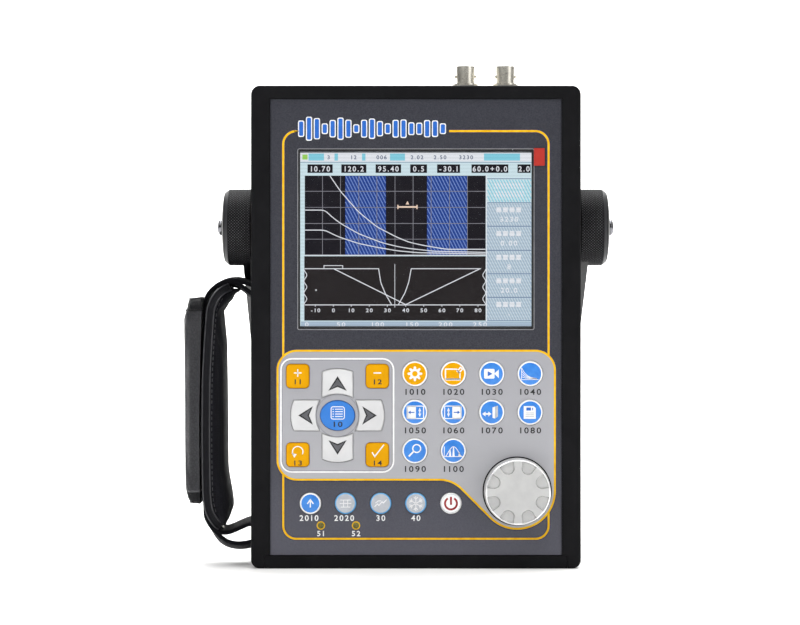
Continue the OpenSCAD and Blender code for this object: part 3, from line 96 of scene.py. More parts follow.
# %% Colour and node helpers
def colour(code):
    """sRGB hex to linear: c / 12.92 up to 0.04045, above it ((c + 0.055) / 1.055) to the power 2.4."""
    parts = [int(code[i:i + 2], 16) / 255 for i in (1, 3, 5)]
    return tuple(c / 12.92 if c <= 0.04045 else ((c + 0.055) / 1.055) ** 2.4 for c in parts) + (1.0,)


def add(tree, kind, sockets=None, **settings):
    """Adds a node, sets its properties, then fills or links its sockets."""
    node = tree.nodes.new(kind)
    for key, value in settings.items():
        setattr(node, key, value)
    for key, value in (sockets or {}).items():
        if isinstance(value, bpy.types.NodeSocket):
            tree.links.new(value, node.inputs[key])
        else:
            node.inputs[key].default_value = value
    return node


def start(name):
    """An empty material's tree and its Object coordinates."""
    material = bpy.data.materials.new(name)
    material.use_nodes = True
    material.node_tree.nodes.clear()
    return material, material.node_tree, add(material.node_tree, "ShaderNodeTexCoord").outputs["Object"]


def noise(tree, where, size_mm, detail=3.0):
    """Noise whose blotches are about size_mm across."""
    return add(tree, "ShaderNodeTexNoise", {"Vector": where, "Scale": 1 / (size_mm * MM), "Detail": detail}
               ).outputs["Fac"]


def spread(tree, value, low, high, first=0.3, last=0.7):
    """Maps first..last of a value to low..high."""
    return add(tree, "ShaderNodeMapRange", {"Value": value, "From Min": first, "From Max": last,
                                            "To Min": low, "To Max": high}).outputs["Result"]


def blend(tree, share, one, two):
    """Colour one where share is 0, two where it is 1."""
    return add(tree, "ShaderNodeMix", {0: share, 6: one, 7: two}, data_type="RGBA").outputs[2]


def close(material, tree, tone, rough, height=None, depth_mm=0.0, extra=None):
    """Ends a material: Principled shader, with the height field as bump of depth_mm."""
    sockets = {"Base Color": tone, "Roughness": rough, **(extra or {})}
    if height is not None:
        sockets["Normal"] = add(tree, "ShaderNodeBump", {"Height": height, "Strength": 1.0,
                                                         "Distance": depth_mm * MM}).outputs["Normal"]
    shader = add(tree, "ShaderNodeBsdfPrincipled", sockets)
    add(tree, "ShaderNodeOutputMaterial", {"Surface": shader.outputs["BSDF"]})
    return material


def moulded(name, dark, light, rough, grain_mm, depth_mm, mottle_mm=12.0, extra=None):
    """A plain finish: two close tones in soft blotches, a fine grain as bump, uneven gloss."""
    material, tree, where = start(name)
    cloud = noise(tree, where, mottle_mm)
    grain = noise(tree, where, grain_mm, 2.0)
    return close(material, tree, blend(tree, spread(tree, cloud, 0, 1), colour(dark), colour(light)),
                 spread(tree, grain, rough - 0.05, rough + 0.05), grain, depth_mm, extra)


# %% [markdown]
# ## Finishes
#
# Each one starts from what the real material is. Moulded ABS has a fine spark texture that breaks up its
# gloss and traps part of it, so its mirror level is set low. Powder coat is rougher, with a soft orange
# peel. Printed film is nearly smooth. Keys are moulded ABS with a satin top. Nickel is paler and less
# polished than chrome. Grain sizes are the real ones in millimetres, or as coarse as they need to be to
# show.

# %% Plain finishes
MATT = {"Specular IOR Level": 0.08}
SATIN = {"Specular IOR Level": 0.25}
METAL = {"Metallic": 1.0}
abs_black = moulded("moulded_abs_black", "#101012", "#151517", 0.5, 0.45, 0.02, extra=MATT)
powder_black = moulded("powder_coat_black", "#131315", "#19191b", 0.4, 0.8, 0.03, extra=SATIN)
grip_rubber = moulded("moulded_rubber", "#0f0f10", "#161617", 0.75, 0.5, 0.03, extra=MATT)
seal_rubber = moulded("seal_rubber", "#0a0a0b", "#0f0f10", 0.8, 0.5, 0.02, extra=MATT)
white_abs = moulded("key_abs_white", "#c8c8c9", "#d2d2d3", 0.35, 0.5, 0.006)
bright_abs = moulded("key_abs_bright_white", "#f2f2f2", "#fafafa", 0.35, 0.5, 0.006)
yellow_abs = moulded("key_abs_yellow", "#d09200", "#dc9e04", 0.4, 0.5, 0.006, extra=MATT)
blue_abs = moulded("key_abs_blue", "#2470c4", "#2f7cd0", 0.35, 0.5, 0.006)
sky_abs = moulded("key_abs_sky", "#58a4de", "#70b4e6", 0.35, 0.5, 0.006)
red_film = moulded("polyester_film_red", "#a01d13", "#ae281a", 0.4, 0.8, 0.01)
nickel = moulded("nickel_plate", "#dedace", "#eeeade", 0.3, 0.6, 0.003, extra={"Metallic": 0.85})
chrome = moulded("chrome_plate", "#6a6a6e", "#7a7a7e", 0.2, 0.8, 0.002, extra=METAL)
zinc = moulded("zinc_plate", "#8f9094", "#a5a6aa", 0.35, 0.5, 0.006, extra=METAL)
black_oxide = moulded("black_oxide_steel", "#39393c", "#4a4a4d", 0.38, 0.5, 0.006, extra=METAL)
ptfe = moulded("ptfe_white", "#e6e0d2", "#f1ecdf", 0.45, 0.6, 0.006)
fibre = moulded("vulcanised_fibre", "#5d4b2c", "#76613c", 0.7, 0.4, 0.02)
solder_resist = moulded("solder_resist_green", "#14502c", "#1d6638", 0.3, 0.8, 0.01)
silicone = moulded("silicone_rubber", "#cfcfc8", "#dedfd8", 0.5, 0.6, 0.01)
can_metal = moulded("tinned_steel", "#8d9096", "#a3a6ac", 0.35, 0.8, 0.01, extra=METAL)
wrap_blue = moulded("shrink_wrap_blue", "#274a87", "#34599a", 0.35, 1.2, 0.02)

# %% [markdown]
# Screen-printed ink lies on the panel as a film a few hundredths of a millimetre thick. It is more matt
# than what it is printed on and has tiny pinholes, so its grain is finer than that of the moulding.

# %% Printing inks
def printed(name, dark, light, rough=0.45, extra=None):
    """A film of ink: a grain of 0.35 mm, in blotches of 3 mm."""
    return moulded("printing_ink_" + name, dark, light, rough, 0.35, 0.006, 3.0, extra)


ink_yellow = printed("yellow", "#dca40e", "#e9bc2c", extra=MATT)
ink_navy = printed("navy", "#20264a", "#2b3158", 0.5)
ink_white = printed("white", "#e2e2e2", "#eeeeee")
ink_black = printed("black", "#111113", "#1c1c1e")
ink_grey = printed("grey", "#4c4c51", "#59595e")
ink_silver = printed("silver", "#a9adb4", "#bcbfc6", 0.4)
# A grey ink that stands for light and shade: painted highlight on the window's edge, painted shadow inside
# the white line, painted shade round the arrow pad.
ink_painted_light_and_shade = printed("shade", "#85858a", "#919196", 0.5)
ink_blue = printed("blue", "#2975cc", "#3a86d8", 0.38)
ink_deep = printed("deep_blue", "#175ab4", "#2066c0", 0.4)
ink_amber = printed("amber", "#d49600", "#e0a204", 0.38, MATT)
ink_red = printed("red", "#8a1117", "#9c1a20", 0.4)

# %% [markdown]
# The front panel is one large moulding, so it is the surface on which the eye looks for life. Its colour is
# painted paler towards its lower edge: painted light, for the light that the bench throws back. Its texture
# is a fine spark grain. The overlay is a reverse-printed polyester film with a faint emboss; its colour too
# is painted paler towards its lower edge.

# %% Panel and overlay
def painted_light_grade(name, low, high, rough, bottom_mm, top_mm, grain_mm, depth_mm):
    """A tone that runs from low at bottom_mm to high at top_mm, with a fine grain."""
    material, tree, where = start(name)
    level = add(tree, "ShaderNodeSeparateXYZ", {"Vector": where}).outputs["Z"]
    share = spread(tree, level, 0, 1, bottom_mm * MM, top_mm * MM)
    grain = noise(tree, where, grain_mm, 2.0)
    tone = blend(tree, share, colour(low), colour(high))
    speck = blend(tree, spread(tree, grain, 0, 0.08), tone, colour("#8a8a92"))
    return close(material, tree, speck, spread(tree, noise(tree, where, 9), rough - 0.04, rough + 0.05),
                 grain, depth_mm, SATIN)


# Painted light: both tones run paler towards the bottom, for the light that the bench throws back.
panel_abs = painted_light_grade("moulded_abs_slate", "#52525c", "#2a2b33", 0.45, 8, 80, 0.5, 0.02)
overlay_film = painted_light_grade("polyester_film_grey", "#aeaeb2", "#9e9ea3", 0.42, 30, 100, 0.4, 0.008)

# %% [markdown]
# The window is clear polycarbonate. A nearly see-through shader with a polished coat lets the picture on
# the display through and still catches the lights.

# %% Window
def clear_sheet(name):
    """A sheet that lets nine tenths of the light straight through and reflects like a polished plastic."""
    material, tree, where = start(name)
    smear = noise(tree, where, 25)
    return close(material, tree, colour("#0b0d10"), spread(tree, smear, 0.04, 0.12), None, 0,
                 {"Alpha": 0.08, "IOR": 1.58})


window_pc = clear_sheet("polycarbonate_clear")


# %% [markdown]
# A liquid-crystal display makes its own light through a grid of coloured dots. The dots are 0.18 mm
# across, too fine for this picture, so the grid is drawn at 0.9 mm and faint.

# %% Display light
DOT_MM = 0.9


def lit(name, code):
    """Light of one colour from a display, in a faint grid of dots."""
    material, tree, where = start("display_" + name)
    dots = add(tree, "ShaderNodeTexWave", {"Vector": where, "Scale": 1 / (2 * math.pi * DOT_MM * MM),
                                           "Distortion": 0.0}, bands_direction="Z").outputs["Fac"]
    base = colour(code)
    dim = tuple(0.9 * c for c in base[:3]) + (1.0,)
    glow = blend(tree, dots, dim, base)
    return close(material, tree, colour("#050506"), 0.4, None, 0,
                 {"Emission Color": glow, "Emission Strength": 1.0, "Specular IOR Level": 0.1})


GLOW = {name: lit(name, code) for name, code in {
    "black": "#1e1c23", "umber": "#2a2627", "grid": "#8d8d96", "band": "#2c4a9a", "stripe": "#7d99de",
    "white": "#f4f8ff", "pale": "#dcf3fb", "menu": "#b4c9dd", "rule": "#7b8fae", "cyan": "#8fdcf0",
    "green": "#a5e06a", "blush": "#ffe3cd", "slate": "#5d6c88", "hatch": "#dcebf2"}.items()}

# %% [markdown]
# ## Making meshes
#
# Every new piece is computed as an array of points in millimetres and goes into a mesh in one step. Its
# object stays at the origin, so the pattern of its material doesn't slide when a joint moves. Normals
# are recalculated once, because a mirrored or turned grid can come out inside out.

# %% Mesh helpers
def piece(name, verts, faces, materials, body="case", smooth_deg=35.0, face_slots=None, uv=None):
    """Points in mm and faces become one closed mesh object that rides on a body."""
    mesh = bpy.data.meshes.new(name)
    mesh.from_pydata((np.asarray(verts, float) * MM).tolist(), [], [list(map(int, f)) for f in faces])
    materials = materials if isinstance(materials, (list, tuple)) else [materials]
    for material in materials:
        mesh.materials.append(material)
    if face_slots is not None:
        mesh.polygons.foreach_set("material_index", np.asarray(face_slots, np.int32))
    if uv is not None:
        corners = np.empty(len(mesh.loops), np.int32)
        mesh.loops.foreach_get("vertex_index", corners)
        layer = mesh.uv_layers.new(name="cloth")
        layer.data.foreach_set("uv", np.asarray(uv, np.float32)[corners].ravel())
    work = bmesh.new()
    work.from_mesh(mesh)
    bmesh.ops.remove_doubles(work, verts=work.verts, dist=1e-7)
    bmesh.ops.recalc_face_normals(work, faces=work.faces)
    work.to_mesh(mesh)
    work.free()
    mesh.polygons.foreach_set("use_smooth", np.ones(len(mesh.polygons), bool))
    mesh.set_sharp_from_angle(angle=math.radians(smooth_deg))
    obj = bpy.data.objects.new(name, mesh)
    bpy.context.collection.objects.link(obj)
    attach(obj, body)
    return obj


def quads(nu, nv, close_u=False, close_v=False):
    """Faces of a grid: point (i, j) joins (i+1, j), (i+1, j+1) and (i, j+1)."""
    i, j = np.meshgrid(np.arange(nu - (not close_u)), np.arange(nv - (not close_v)), indexing="ij")
    i, j = i.ravel(), j.ravel()
    i2, j2 = (i + 1) % nu, (j + 1) % nv
    return np.stack([i * nv + j, i2 * nv + j, i2 * nv + j2, i * nv + j2], axis=1)


AXES = {"x": ((0, 1, 0), (0, 0, 1), (1, 0, 0)), "-y": ((1, 0, 0), (0, 0, 1), (0, -1, 0))}


def turned(profile, centre, axis, sides=96, ripple=None):
    """Surface of revolution: the point (r, h) goes to centre + h * axis + r * (cos t * a + sin t * b).

    ripple(t, r, h) may change r and h, for flutes and knurls."""
    a, b, along = (np.array(v, float) for v in AXES[axis])
    profile = np.asarray(profile, float)
    t, k = np.meshgrid(np.arange(sides) * 2 * math.pi / sides, np.arange(len(profile)), indexing="ij")
    r, h = profile[k, 0], profile[k, 1]
    if ripple:
        r, h = ripple(t, r, h)
    points = (np.asarray(centre, float) + h[..., None] * along
              + (r * np.cos(t))[..., None] * a + (r * np.sin(t))[..., None] * b)
    return points.reshape(-1, 3), quads(sides, len(profile), True, False)


# %% [markdown]
# Flat shapes, such as prints, icons and the picture on the screen, are collected on a sheet: each shape is
# a prism a few hundredths of a millimetre thick. A line is its path with both edges moved out by half the
# width, square to the path, and a number is put together from the font's own outlines.

# %% Flat shapes
def arc(x, z, r, first, last, n=12):
    """Points of a circle of radius r about (x, z) from angle first to last, in degrees."""
    t = np.radians(np.linspace(first, last, n + 1))
    return np.stack([x + r * np.cos(t), z + r * np.sin(t)], axis=1)


def disc(x, z, r, n=48):
    return arc(x, z, r, 0, 360, n)[:-1]


def box_path(x0, z0, x1, z1, r=0.0):
    """Rectangle from (x0, z0) to (x1, z1) with corners of radius r, anticlockwise."""
    if r == 0:
        return np.array([[x0, z0], [x1, z0], [x1, z1], [x0, z1]], float)
    return np.concatenate([arc(x1 - r, z0 + r, r, 270, 360, 6), arc(x1 - r, z1 - r, r, 0, 90, 6),
                           arc(x0 + r, z1 - r, r, 90, 180, 6), arc(x0 + r, z0 + r, r, 180, 270, 6)])


def edges_of(path, width, closed):
    """Both edges of a line: each point moved by half the width along the mitre of its two directions."""
    p = np.asarray(path, float)
    back, ahead = p - np.roll(p, 1, 0), np.roll(p, -1, 0) - p
    if not closed:
        back[0], ahead[-1] = ahead[0], back[-1]
    back /= np.linalg.norm(back, axis=1)[:, None]
    ahead /= np.linalg.norm(ahead, axis=1)[:, None]
    way = back + ahead
    way /= np.linalg.norm(way, axis=1)[:, None]
    out = np.stack([-way[:, 1], way[:, 0]], axis=1) * width / 2
    out /= np.clip(np.sum(way * back, axis=1), 0.5, 1.0)[:, None]
    return p + out, p - out


GLYPHS = {}


def glyph(mark):
    """Points and faces of one character, one unit high, from the built-in font."""
    if mark not in GLYPHS:
        curve = bpy.data.curves.new("glyph", "FONT")
        curve.body, curve.extrude, curve.resolution_u, curve.offset = mark, 0.5, 4, 0.018
        obj = bpy.data.objects.new("glyph", curve)
        bpy.context.collection.objects.link(obj)
        bpy.context.view_layer.update()
        mesh = obj.to_mesh()
        verts = np.empty(len(mesh.vertices) * 3)
        mesh.vertices.foreach_get("co", verts)
        GLYPHS[mark] = (verts.reshape(-1, 3), [list(f.vertices) for f in mesh.polygons])
        obj.to_mesh_clear()
        bpy.data.objects.remove(obj)
        bpy.data.curves.remove(curve)
    return GLYPHS[mark]


DIGIT_HIGH = np.ptp(glyph("0")[0][:, 1])
ADVANCE = {"1": 0.55, ".": 0.42, " ": 0.5, "-": 0.62, "+": 0.85}


class Sheet:
    """Flat shapes of one material, gathered into one piece."""

    def __init__(self, name, material, front, back, body="case"):
        self.name, self.material, self.body = name, material, body
        self.front, self.back = front, back
        self.verts, self.faces, self.count = [], [], 0

    def _take(self, verts, faces):
        self.verts.append(np.asarray(verts, float))
        self.faces += [[int(k) + self.count for k in face] for face in faces]
        self.count += len(verts)

    def fill(self, outline):
        """A prism on a closed outline of (x, z) points."""
        p = np.asarray(outline, float)
        n = len(p)
        rings = [np.stack([p[:, 0], np.full(n, y), p[:, 1]], axis=1) for y in (self.front, self.back)]
        self._take(np.concatenate(rings), [list(range(n)), list(range(2 * n - 1, n - 1, -1))]
                   + quads(2, n, False, True).tolist())
        return self

    def line(self, path, width, closed=False):
        """A line of even width along a path."""
        left, right = edges_of(path, width, closed)
        n = len(left)
        ring = [(left, self.front), (right, self.front), (right, self.back), (left, self.back)]
        points = np.stack([np.stack([q[:, 0], np.full(n, y), q[:, 1]], axis=1) for q, y in ring], axis=1)
        ends = [] if closed else [[0, 1, 2, 3], [4 * n - 1, 4 * n - 2, 4 * n - 3, 4 * n - 4]]
        self._take(points.reshape(-1, 3), quads(n, 4, closed, True).tolist() + ends)
        return self

    def number(self, words, x, z, height, squeeze=1.0):
        """Plain numbers centred on (x, z), their digits height tall."""
        scale = height / DIGIT_HIGH
        steps = [ADVANCE.get(mark, 0.66) * scale * squeeze for mark in words]
        pen = x - sum(steps) / 2
        for mark, step in zip(words, steps):
            if mark != " ":
                verts, faces = glyph(mark)
                middle = (verts[:, 0].max() + verts[:, 0].min()) / 2
                depth = self.back + (verts[:, 2] + 0.5) * (self.front - self.back)
                self._take(np.stack([pen + step / 2 + (verts[:, 0] - middle) * scale * squeeze, depth,
                                     z - height / 2 + verts[:, 1] * scale], axis=1), faces)
            pen += step
        return self

    def done(self):
        return piece(self.name, np.concatenate(self.verts), self.faces, self.material, self.body)


# %% [markdown]
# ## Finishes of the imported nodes
#
# A node whose shape is right keeps its mesh and gets its real finish.

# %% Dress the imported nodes
ARROW_TURN = {"key_up": 0, "key_left": 90, "key_down": 180, "key_right": 270}
GRID_KEYS = ["key_setup", "key_probe", "key_capture", "key_curve", "key_gate_a", "key_gate_b",
             "key_channel", "key_report", "key_zoom", "key_peak"]
SKY_KEYS = ["key_auto_gain", "key_step", "key_freeze"]
CORNER_KEYS = ["key_gain_up", "key_gain_down", "key_back", "key_confirm"]
dress = {
    "front_frame": abs_black, "rear_shell": abs_black, "bottom_cover": abs_black, "port_flap": abs_black,
    "battery_door": abs_black, "case_gasket": seal_rubber, "display_gasket": seal_rubber,
    "case_screws": black_oxide, "front_panel": panel_abs, "keypad_overlay": overlay_film,
    "display_window": window_pc, "lcd_module": can_metal, "keypad_mat": silicone,
    "keypad_board": solder_resist, "main_board": solder_resist, "battery_pack": wrap_blue,
    "wiring_harness": seal_rubber, "encoder_body": solder_resist, "encoder_rotor": seal_rubber,
    "encoder_shaft": zinc, "panel_nuts": nickel, "jack_shells": nickel, "jack_insulators": ptfe,
    "io_ports": nickel, "pivot_studs": zinc, "friction_washers": fibre, "retaining_screws": chrome,
    "bail_handle": powder_black, "strap_hardware": nickel, "key_menu": blue_abs}
for names, material in ((ARROW_TURN, white_abs), (GRID_KEYS + ["key_power", "key_function"], bright_abs),
                        (SKY_KEYS, sky_abs), (CORNER_KEYS, yellow_abs)):
    dress.update(dict.fromkeys(names, material))
for name, material in dress.items():
    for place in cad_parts[name].material_slots:
        place.material = material


def low(node):
    return [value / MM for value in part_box(node)[0]]


def high(node):
    return [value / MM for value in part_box(node)[1]]


def middle(node):
    return [(a + b) / 2 for a, b in zip(low(node), high(node))]


print("dressed", len(dress), "nodes")

# %% [markdown]
# ## Floor and light
#
# A photographer's sweep: a pale floor that curves up into a wall, so no horizon shows behind the object.
# Large soft lamps from the upper left, the right and above, as in the photograph, and one that lights
# only the paper behind. The room itself stays dim, so that the black case keeps its depth.

# %% Sweep and lamps
def sweep():
    """Floor from y = -3 to 2 m, then a quarter circle of radius 1 m up to a wall."""
    bend = np.radians(np.linspace(0, 90, 13))
    curve = np.stack([2 + np.sin(bend), 1 - np.cos(bend)], axis=1)
    line = np.concatenate([[[-3.0, 0.0]], curve, [[3.0, 4.0]]])
    x = np.array([-5.0, 5.0])
    points = np.stack([np.repeat(x, len(line)), np.tile(line[:, 0], 2), np.tile(line[:, 1], 2)], axis=1)
    mesh = bpy.data.meshes.new("sweep")
    mesh.from_pydata(points.tolist(), [], quads(2, len(line)).tolist())
    mesh.polygons.foreach_set("use_smooth", np.ones(len(mesh.polygons), bool))
    mesh.materials.append(moulded("paper_sweep", "#f3f3f2", "#f6f6f5", 0.9, 3.0, 0.01, 60.0))
    obj = bpy.data.objects.new("sweep", mesh)
    bpy.context.collection.objects.link(obj)


def lamp(name, place, target, size, watts):
    """A square soft lamp at place that faces target."""
    data = bpy.data.lights.new(name, "AREA")
    data.size, data.energy = size, watts
    obj = bpy.data.objects.new(name, data)
    way = np.array(target, float) - np.array(place, float)
    obj.location = place
    obj.rotation_euler = (math.atan2(math.hypot(way[0], way[1]), -way[2]), 0, math.atan2(-way[0], way[1]))
    bpy.context.collection.objects.link(obj)


sweep()
lamp("lamp_left", (-1.1, -1.3, 1.5), (0, 0, 0.1), 0.9, 14)
lamp("lamp_right", (1.5, -1.1, 0.8), (0, 0, 0.12), 1.2, 7.5)
lamp("lamp_top", (0.0, 0.3, 3.2), (0, 0.3, 0), 5.0, 190)
lamp("lamp_paper", (0.0, 1.0, 2.6), (0, 3.0, 0.8), 2.0, 170)
world = bpy.data.worlds.new("studio")
bpy.context.scene.world = world
world.use_nodes = True
world.node_tree.nodes["Background"].inputs["Color"].default_value = colour("#ffffff")
world.node_tree.nodes["Background"].inputs["Strength"].default_value = 0.16

# %% [markdown]
# ## Prints on the front panel
#
# A yellow pinstripe with a thin navy edge runs round the panel and stops at the top left, where the title
# stands. The title place gets a generic wave form of bars, without letters.

# %% Pinstripe and title
PANEL_Y = low("front_panel")[1]
INK = 0.05
STRIPE_X, STRIPE_Z0, STRIPE_Z1, STRIPE_R = 65.9, 14.8, 217.3, 6.5
TITLE_X0, TITLE_X1, TITLE_Z0, TITLE_Z1 = -58.6, 15.0, 212.6, 224.4
BARS, BAR_HALF, BAR_EDGE = 19, 1.05, 0.5


def print_on(y, name, ink, level=0):
    """A sheet of ink on the surface at depth y, with level layers of ink below it."""
    return Sheet(name, ink, y - (level + 1) * INK, y - level * INK)


side_x, top_z, foot_z = STRIPE_X - STRIPE_R, STRIPE_Z1 - STRIPE_R, STRIPE_Z0 + STRIPE_R
stripe = np.concatenate([
    [[TITLE_X1 + 1.5, STRIPE_Z1]], arc(side_x, top_z, STRIPE_R, 90, 0), arc(side_x, foot_z, STRIPE_R, 0, -90),
    arc(-side_x, foot_z, STRIPE_R, 270, 180), arc(-side_x, top_z, STRIPE_R, 180, 90),
    [[TITLE_X0 - 1.6, STRIPE_Z1]]])
print_on(PANEL_Y, "pinstripe_edge", ink_navy).line(stripe, 1.75).done()
print_on(PANEL_Y, "pinstripe", ink_yellow, 1).line(stripe, 1.05).done()

title_edge = print_on(PANEL_Y, "title_bars_edge", ink_white)
title_bars = print_on(PANEL_Y, "title_bars", ink_deep, 1)
bar_x = np.linspace(TITLE_X0 + 1.6, TITLE_X1 - 1.6, BARS)
bar_high = 3.2 + 8.2 * np.abs(np.sin(np.arange(BARS) * 0.83 + 0.5)) * np.exp(-0.035 * np.arange(BARS))
middle_z = (TITLE_Z0 + TITLE_Z1) / 2
for x, tall in zip(bar_x, bar_high):
    for sheet, more, r in ((title_edge, BAR_EDGE, 0.9), (title_bars, 0.0, 0.6)):
        half_x, half_z = BAR_HALF + more, tall / 2 + more
        sheet.fill(box_path(x - half_x, middle_z - half_z, x + half_x, middle_z + half_z, r))
title_edge.done()
title_bars.done()
print("title bars:", BARS)

# %% [markdown]
# ## Window edge, film and pull tab
#
# The window still carries its protective film: a hair-thin clear sheet, with a red tab at the top right
# corner to pull it off. Where the film's edge catches the light, a silver line is painted highlight, and a
# pale line round the window is painted highlight on its edge. The black print behind the window frames the
# picture.

# %% Window edge, film and tab
w_x0, FILM_Y, w_z0 = low("display_window")
w_x1, _, w_z1 = high("display_window")
# Painted highlight: a pale line round the window's edge.
rim_highlight = box_path(w_x0 - 0.2, w_z0 - 0.2, w_x1 + 0.2, w_z1 + 0.2, 0.8)
print_on(PANEL_Y, "window_edge_highlight", ink_painted_light_and_shade).line(rim_highlight, 0.3, True).done()
black_frame = box_path(w_x0 + 0.3, w_z0 + 0.3, w_x1 - 0.3, w_z1 - 0.3, 0.4)
print_on(FILM_Y, "window_black_print", ink_black).line(black_frame, 1.0, True).done()
# Painted highlight: a silver line where the film's edge catches the light.
film_edge_highlight = [on_plane(x, y, FILM_Y) for x, y in ((512.6, 150.0), (512.9, 147.6), (534.2, 147.6))]
print_on(FILM_Y, "film_edge_highlight", ink_silver, 1).line(film_edge_highlight, 0.3).done()


def pull_tab(x0, x1, z0, z1, y, lift, thick, n=18):
    """A small sheet whose free right end curls forward: its lift grows with the square of the way along."""
    u, v = np.meshgrid(np.linspace(0, 1, n), np.linspace(0, 1, 6), indexing="ij")
    x, z = x0 + (x1 - x0) * u, z0 + (z1 - z0) * v
    front = np.stack([x, y - lift * u ** 2, z], axis=-1).reshape(-1, 3)
    back = front + [0, thick, 0]
    faces = quads(n, 6).tolist()
    m = len(front)
    rim = ([i * 6 for i in range(n)] + [(n - 1) * 6 + j for j in range(1, 6)]
           + [i * 6 + 5 for i in range(n - 2, -1, -1)] + [j for j in range(4, 0, -1)])
    side = [[a, b, b + m, a + m] for a, b in zip(rim, rim[1:] + rim[:1])]
    return np.concatenate([front, back]), faces + [[k + m for k in f] for f in faces] + side


piece("film_pull_tab", *pull_tab(58.6, 63.9, 200.1, 208.8, PANEL_Y - 0.45, 0.5, 0.12), red_film)

# %% [markdown]
# ## Prints on the key field
#
# A thick yellow line follows the overlay's edge, with a white rounded frame round the arrow keys. The
# captions under the keys are words in the photograph; here they are plain numbers.

# %% Overlay lines
OVER = (low("keypad_overlay"), high("keypad_overlay"))
OVER_Y = OVER[0][1]
KNOB_X, KNOB_Z = middle("encoder_shaft")[0], (low("encoder_body")[2] + high("encoder_body")[2]) / 2
OVER_R, BEND_R, OVER_Z0 = 9.5, 15.5, 44.3
KNOB_EDGE_R = OVER[1][0] - KNOB_X
run_sum = KNOB_X + KNOB_Z - KNOB_EDGE_R * math.sqrt(2)
BEND = (run_sum - (OVER_Z0 - BEND_R) - BEND_R * math.sqrt(2), OVER_Z0 - BEND_R)


def overlay_path(inset):
    """The overlay's outline, moved inwards: corner arcs, the hollow bend, and the arc round the knob."""
    r, top_z = OVER_R - inset, OVER[1][2] - OVER_R
    left_x, right_x = OVER[0][0] + OVER_R, OVER[1][0] - OVER_R
    return np.concatenate([
        arc(right_x, top_z, r, 0, 90), arc(left_x, top_z, r, 90, 180),
        arc(left_x, OVER_Z0 + OVER_R, r, 180, 270), arc(*BEND, BEND_R + inset, 90, 45),
        arc(KNOB_X, KNOB_Z, KNOB_EDGE_R - inset, 225, 360, 30)])


Sheet("overlay_border", ink_yellow, OVER_Y - INK, PANEL_Y - INK).line(overlay_path(-0.1), 1.0, True).done()
# Painted shadow, in navy, round the overlay's raised border.
print_on(PANEL_Y, "overlay_border_navy_shadow", ink_navy).line(overlay_path(-0.5), 1.2, True).done()
white_line = box_path(-67.0, 48.0, -11.1, 104.2, 5.4)
print_on(OVER_Y, "overlay_white_line", ink_white).line(white_line, 0.8, True).done()
# Painted shadow: a grey line just inside the white line.
line_shade = box_path(-66.4, 48.6, -11.7, 103.6, 4.8)
Sheet("overlay_line_shade", ink_painted_light_and_shade, OVER_Y - 0.6 * INK, OVER_Y).line(line_shade, 0.5, True).done()

# %% Captions
GRID_DROP, ROW_DROP, LAMP_DROP, LAMP_WORD_DROP = 8.9, 7.2, 11.0, 3.9
PAD_X, _, PAD_Z = middle("key_menu")
# Painted shade: a grey line at the edge of the ring round the arrow pad.
print_on(OVER_Y, "arrow_pad_ring_shade", ink_painted_light_and_shade).line(disc(PAD_X, PAD_Z, 10.55, 72), 0.4, True).done()

dark_numbers = print_on(OVER_Y, "caption_numbers_dark", ink_black)
for order, name in enumerate(GRID_KEYS):
    x, _, z = middle(name)
    dark_numbers.number(str(1010 + 10 * order), x, z - GRID_DROP, 3.0, 1.15)
dark_numbers.done()

white_numbers = print_on(PANEL_Y, "caption_numbers_white", ink_white)
for name, words in zip(["key_function"] + SKY_KEYS, ["2010", "2020", "30", "40"]):
    x, _, z = middle(name)
    white_numbers.number(words, x - (0.7 if len(words) > 2 else 0), z - ROW_DROP, 2.9, 1.02)
lamp_x = middle("key_function")[0] + 5.2
lamp_step = middle("key_auto_gain")[0] - middle("key_function")[0]
lamp_z = middle("key_function")[2] - LAMP_DROP
for order, words in enumerate(["51", "52"]):
    white_numbers.number(words, lamp_x + order * lamp_step, lamp_z - LAMP_WORD_DROP, 2.7, 1.05)
white_numbers.done()

# %% [markdown]
# ## Indicator lamps
#
# A light pipe of clear resin stands in a printed yellow ring. Its end is a shallow dome.

# %% Lamps
resin = moulded("clear_resin_amber", "#57501f", "#776a26", 0.15, 0.8, 0.004, 2.0)
rings = print_on(PANEL_Y, "lamp_rings", ink_yellow)
dome = [(0, 0.75), (0.5, 0.7), (1.0, 0.55), (1.3, 0.3), (1.4, 0.0), (0, 0)]
for order in range(2):
    x = lamp_x + order * lamp_step
    rings.line(disc(x, lamp_z, 1.75, 40), 0.66, True)
    piece(f"lamp_dome_{order + 1}", *turned(dome, (x, PANEL_Y, lamp_z), "-y", 40), resin)
rings.done()

# %% [markdown]
# ## Key faces
#
# Each round key is white ABS with a coloured label let into its top, and a white icon printed on the
# label. A label is turned: flat, with a rounded edge. The icons are drawn in millimetres about the key's
# own centre: a gear, a probe on a block, a camera, decay curves, gates, a door, a disk, a lens, peaks.

# %% Labels and icons
LABEL = 0.12


def label(key, r, material):
    """A disc of radius r on a key's front face, with a rounded edge."""
    x, _, z = middle(key)
    y = low(key)[1]
    profile = [(0, LABEL), (r - 0.25, LABEL), (r - 0.08, 0.7 * LABEL), (r, 0), (0, 0)]
    piece(key + "_label", *turned(profile, (x, y, z), "-y", 72), material, key)


def icon(key, material=ink_white, part="icon", layer=0, raise_by=LABEL):
    """A sheet on a key's face, layer layers of ink above its label. put() draws on it about sheet.centre."""
    y = low(key)[1] - raise_by - layer * INK
    sheet = Sheet(f"{key}_{part}", material, y - INK, y, key)
    sheet.centre = np.array([middle(key)[0], middle(key)[2]])
    return sheet


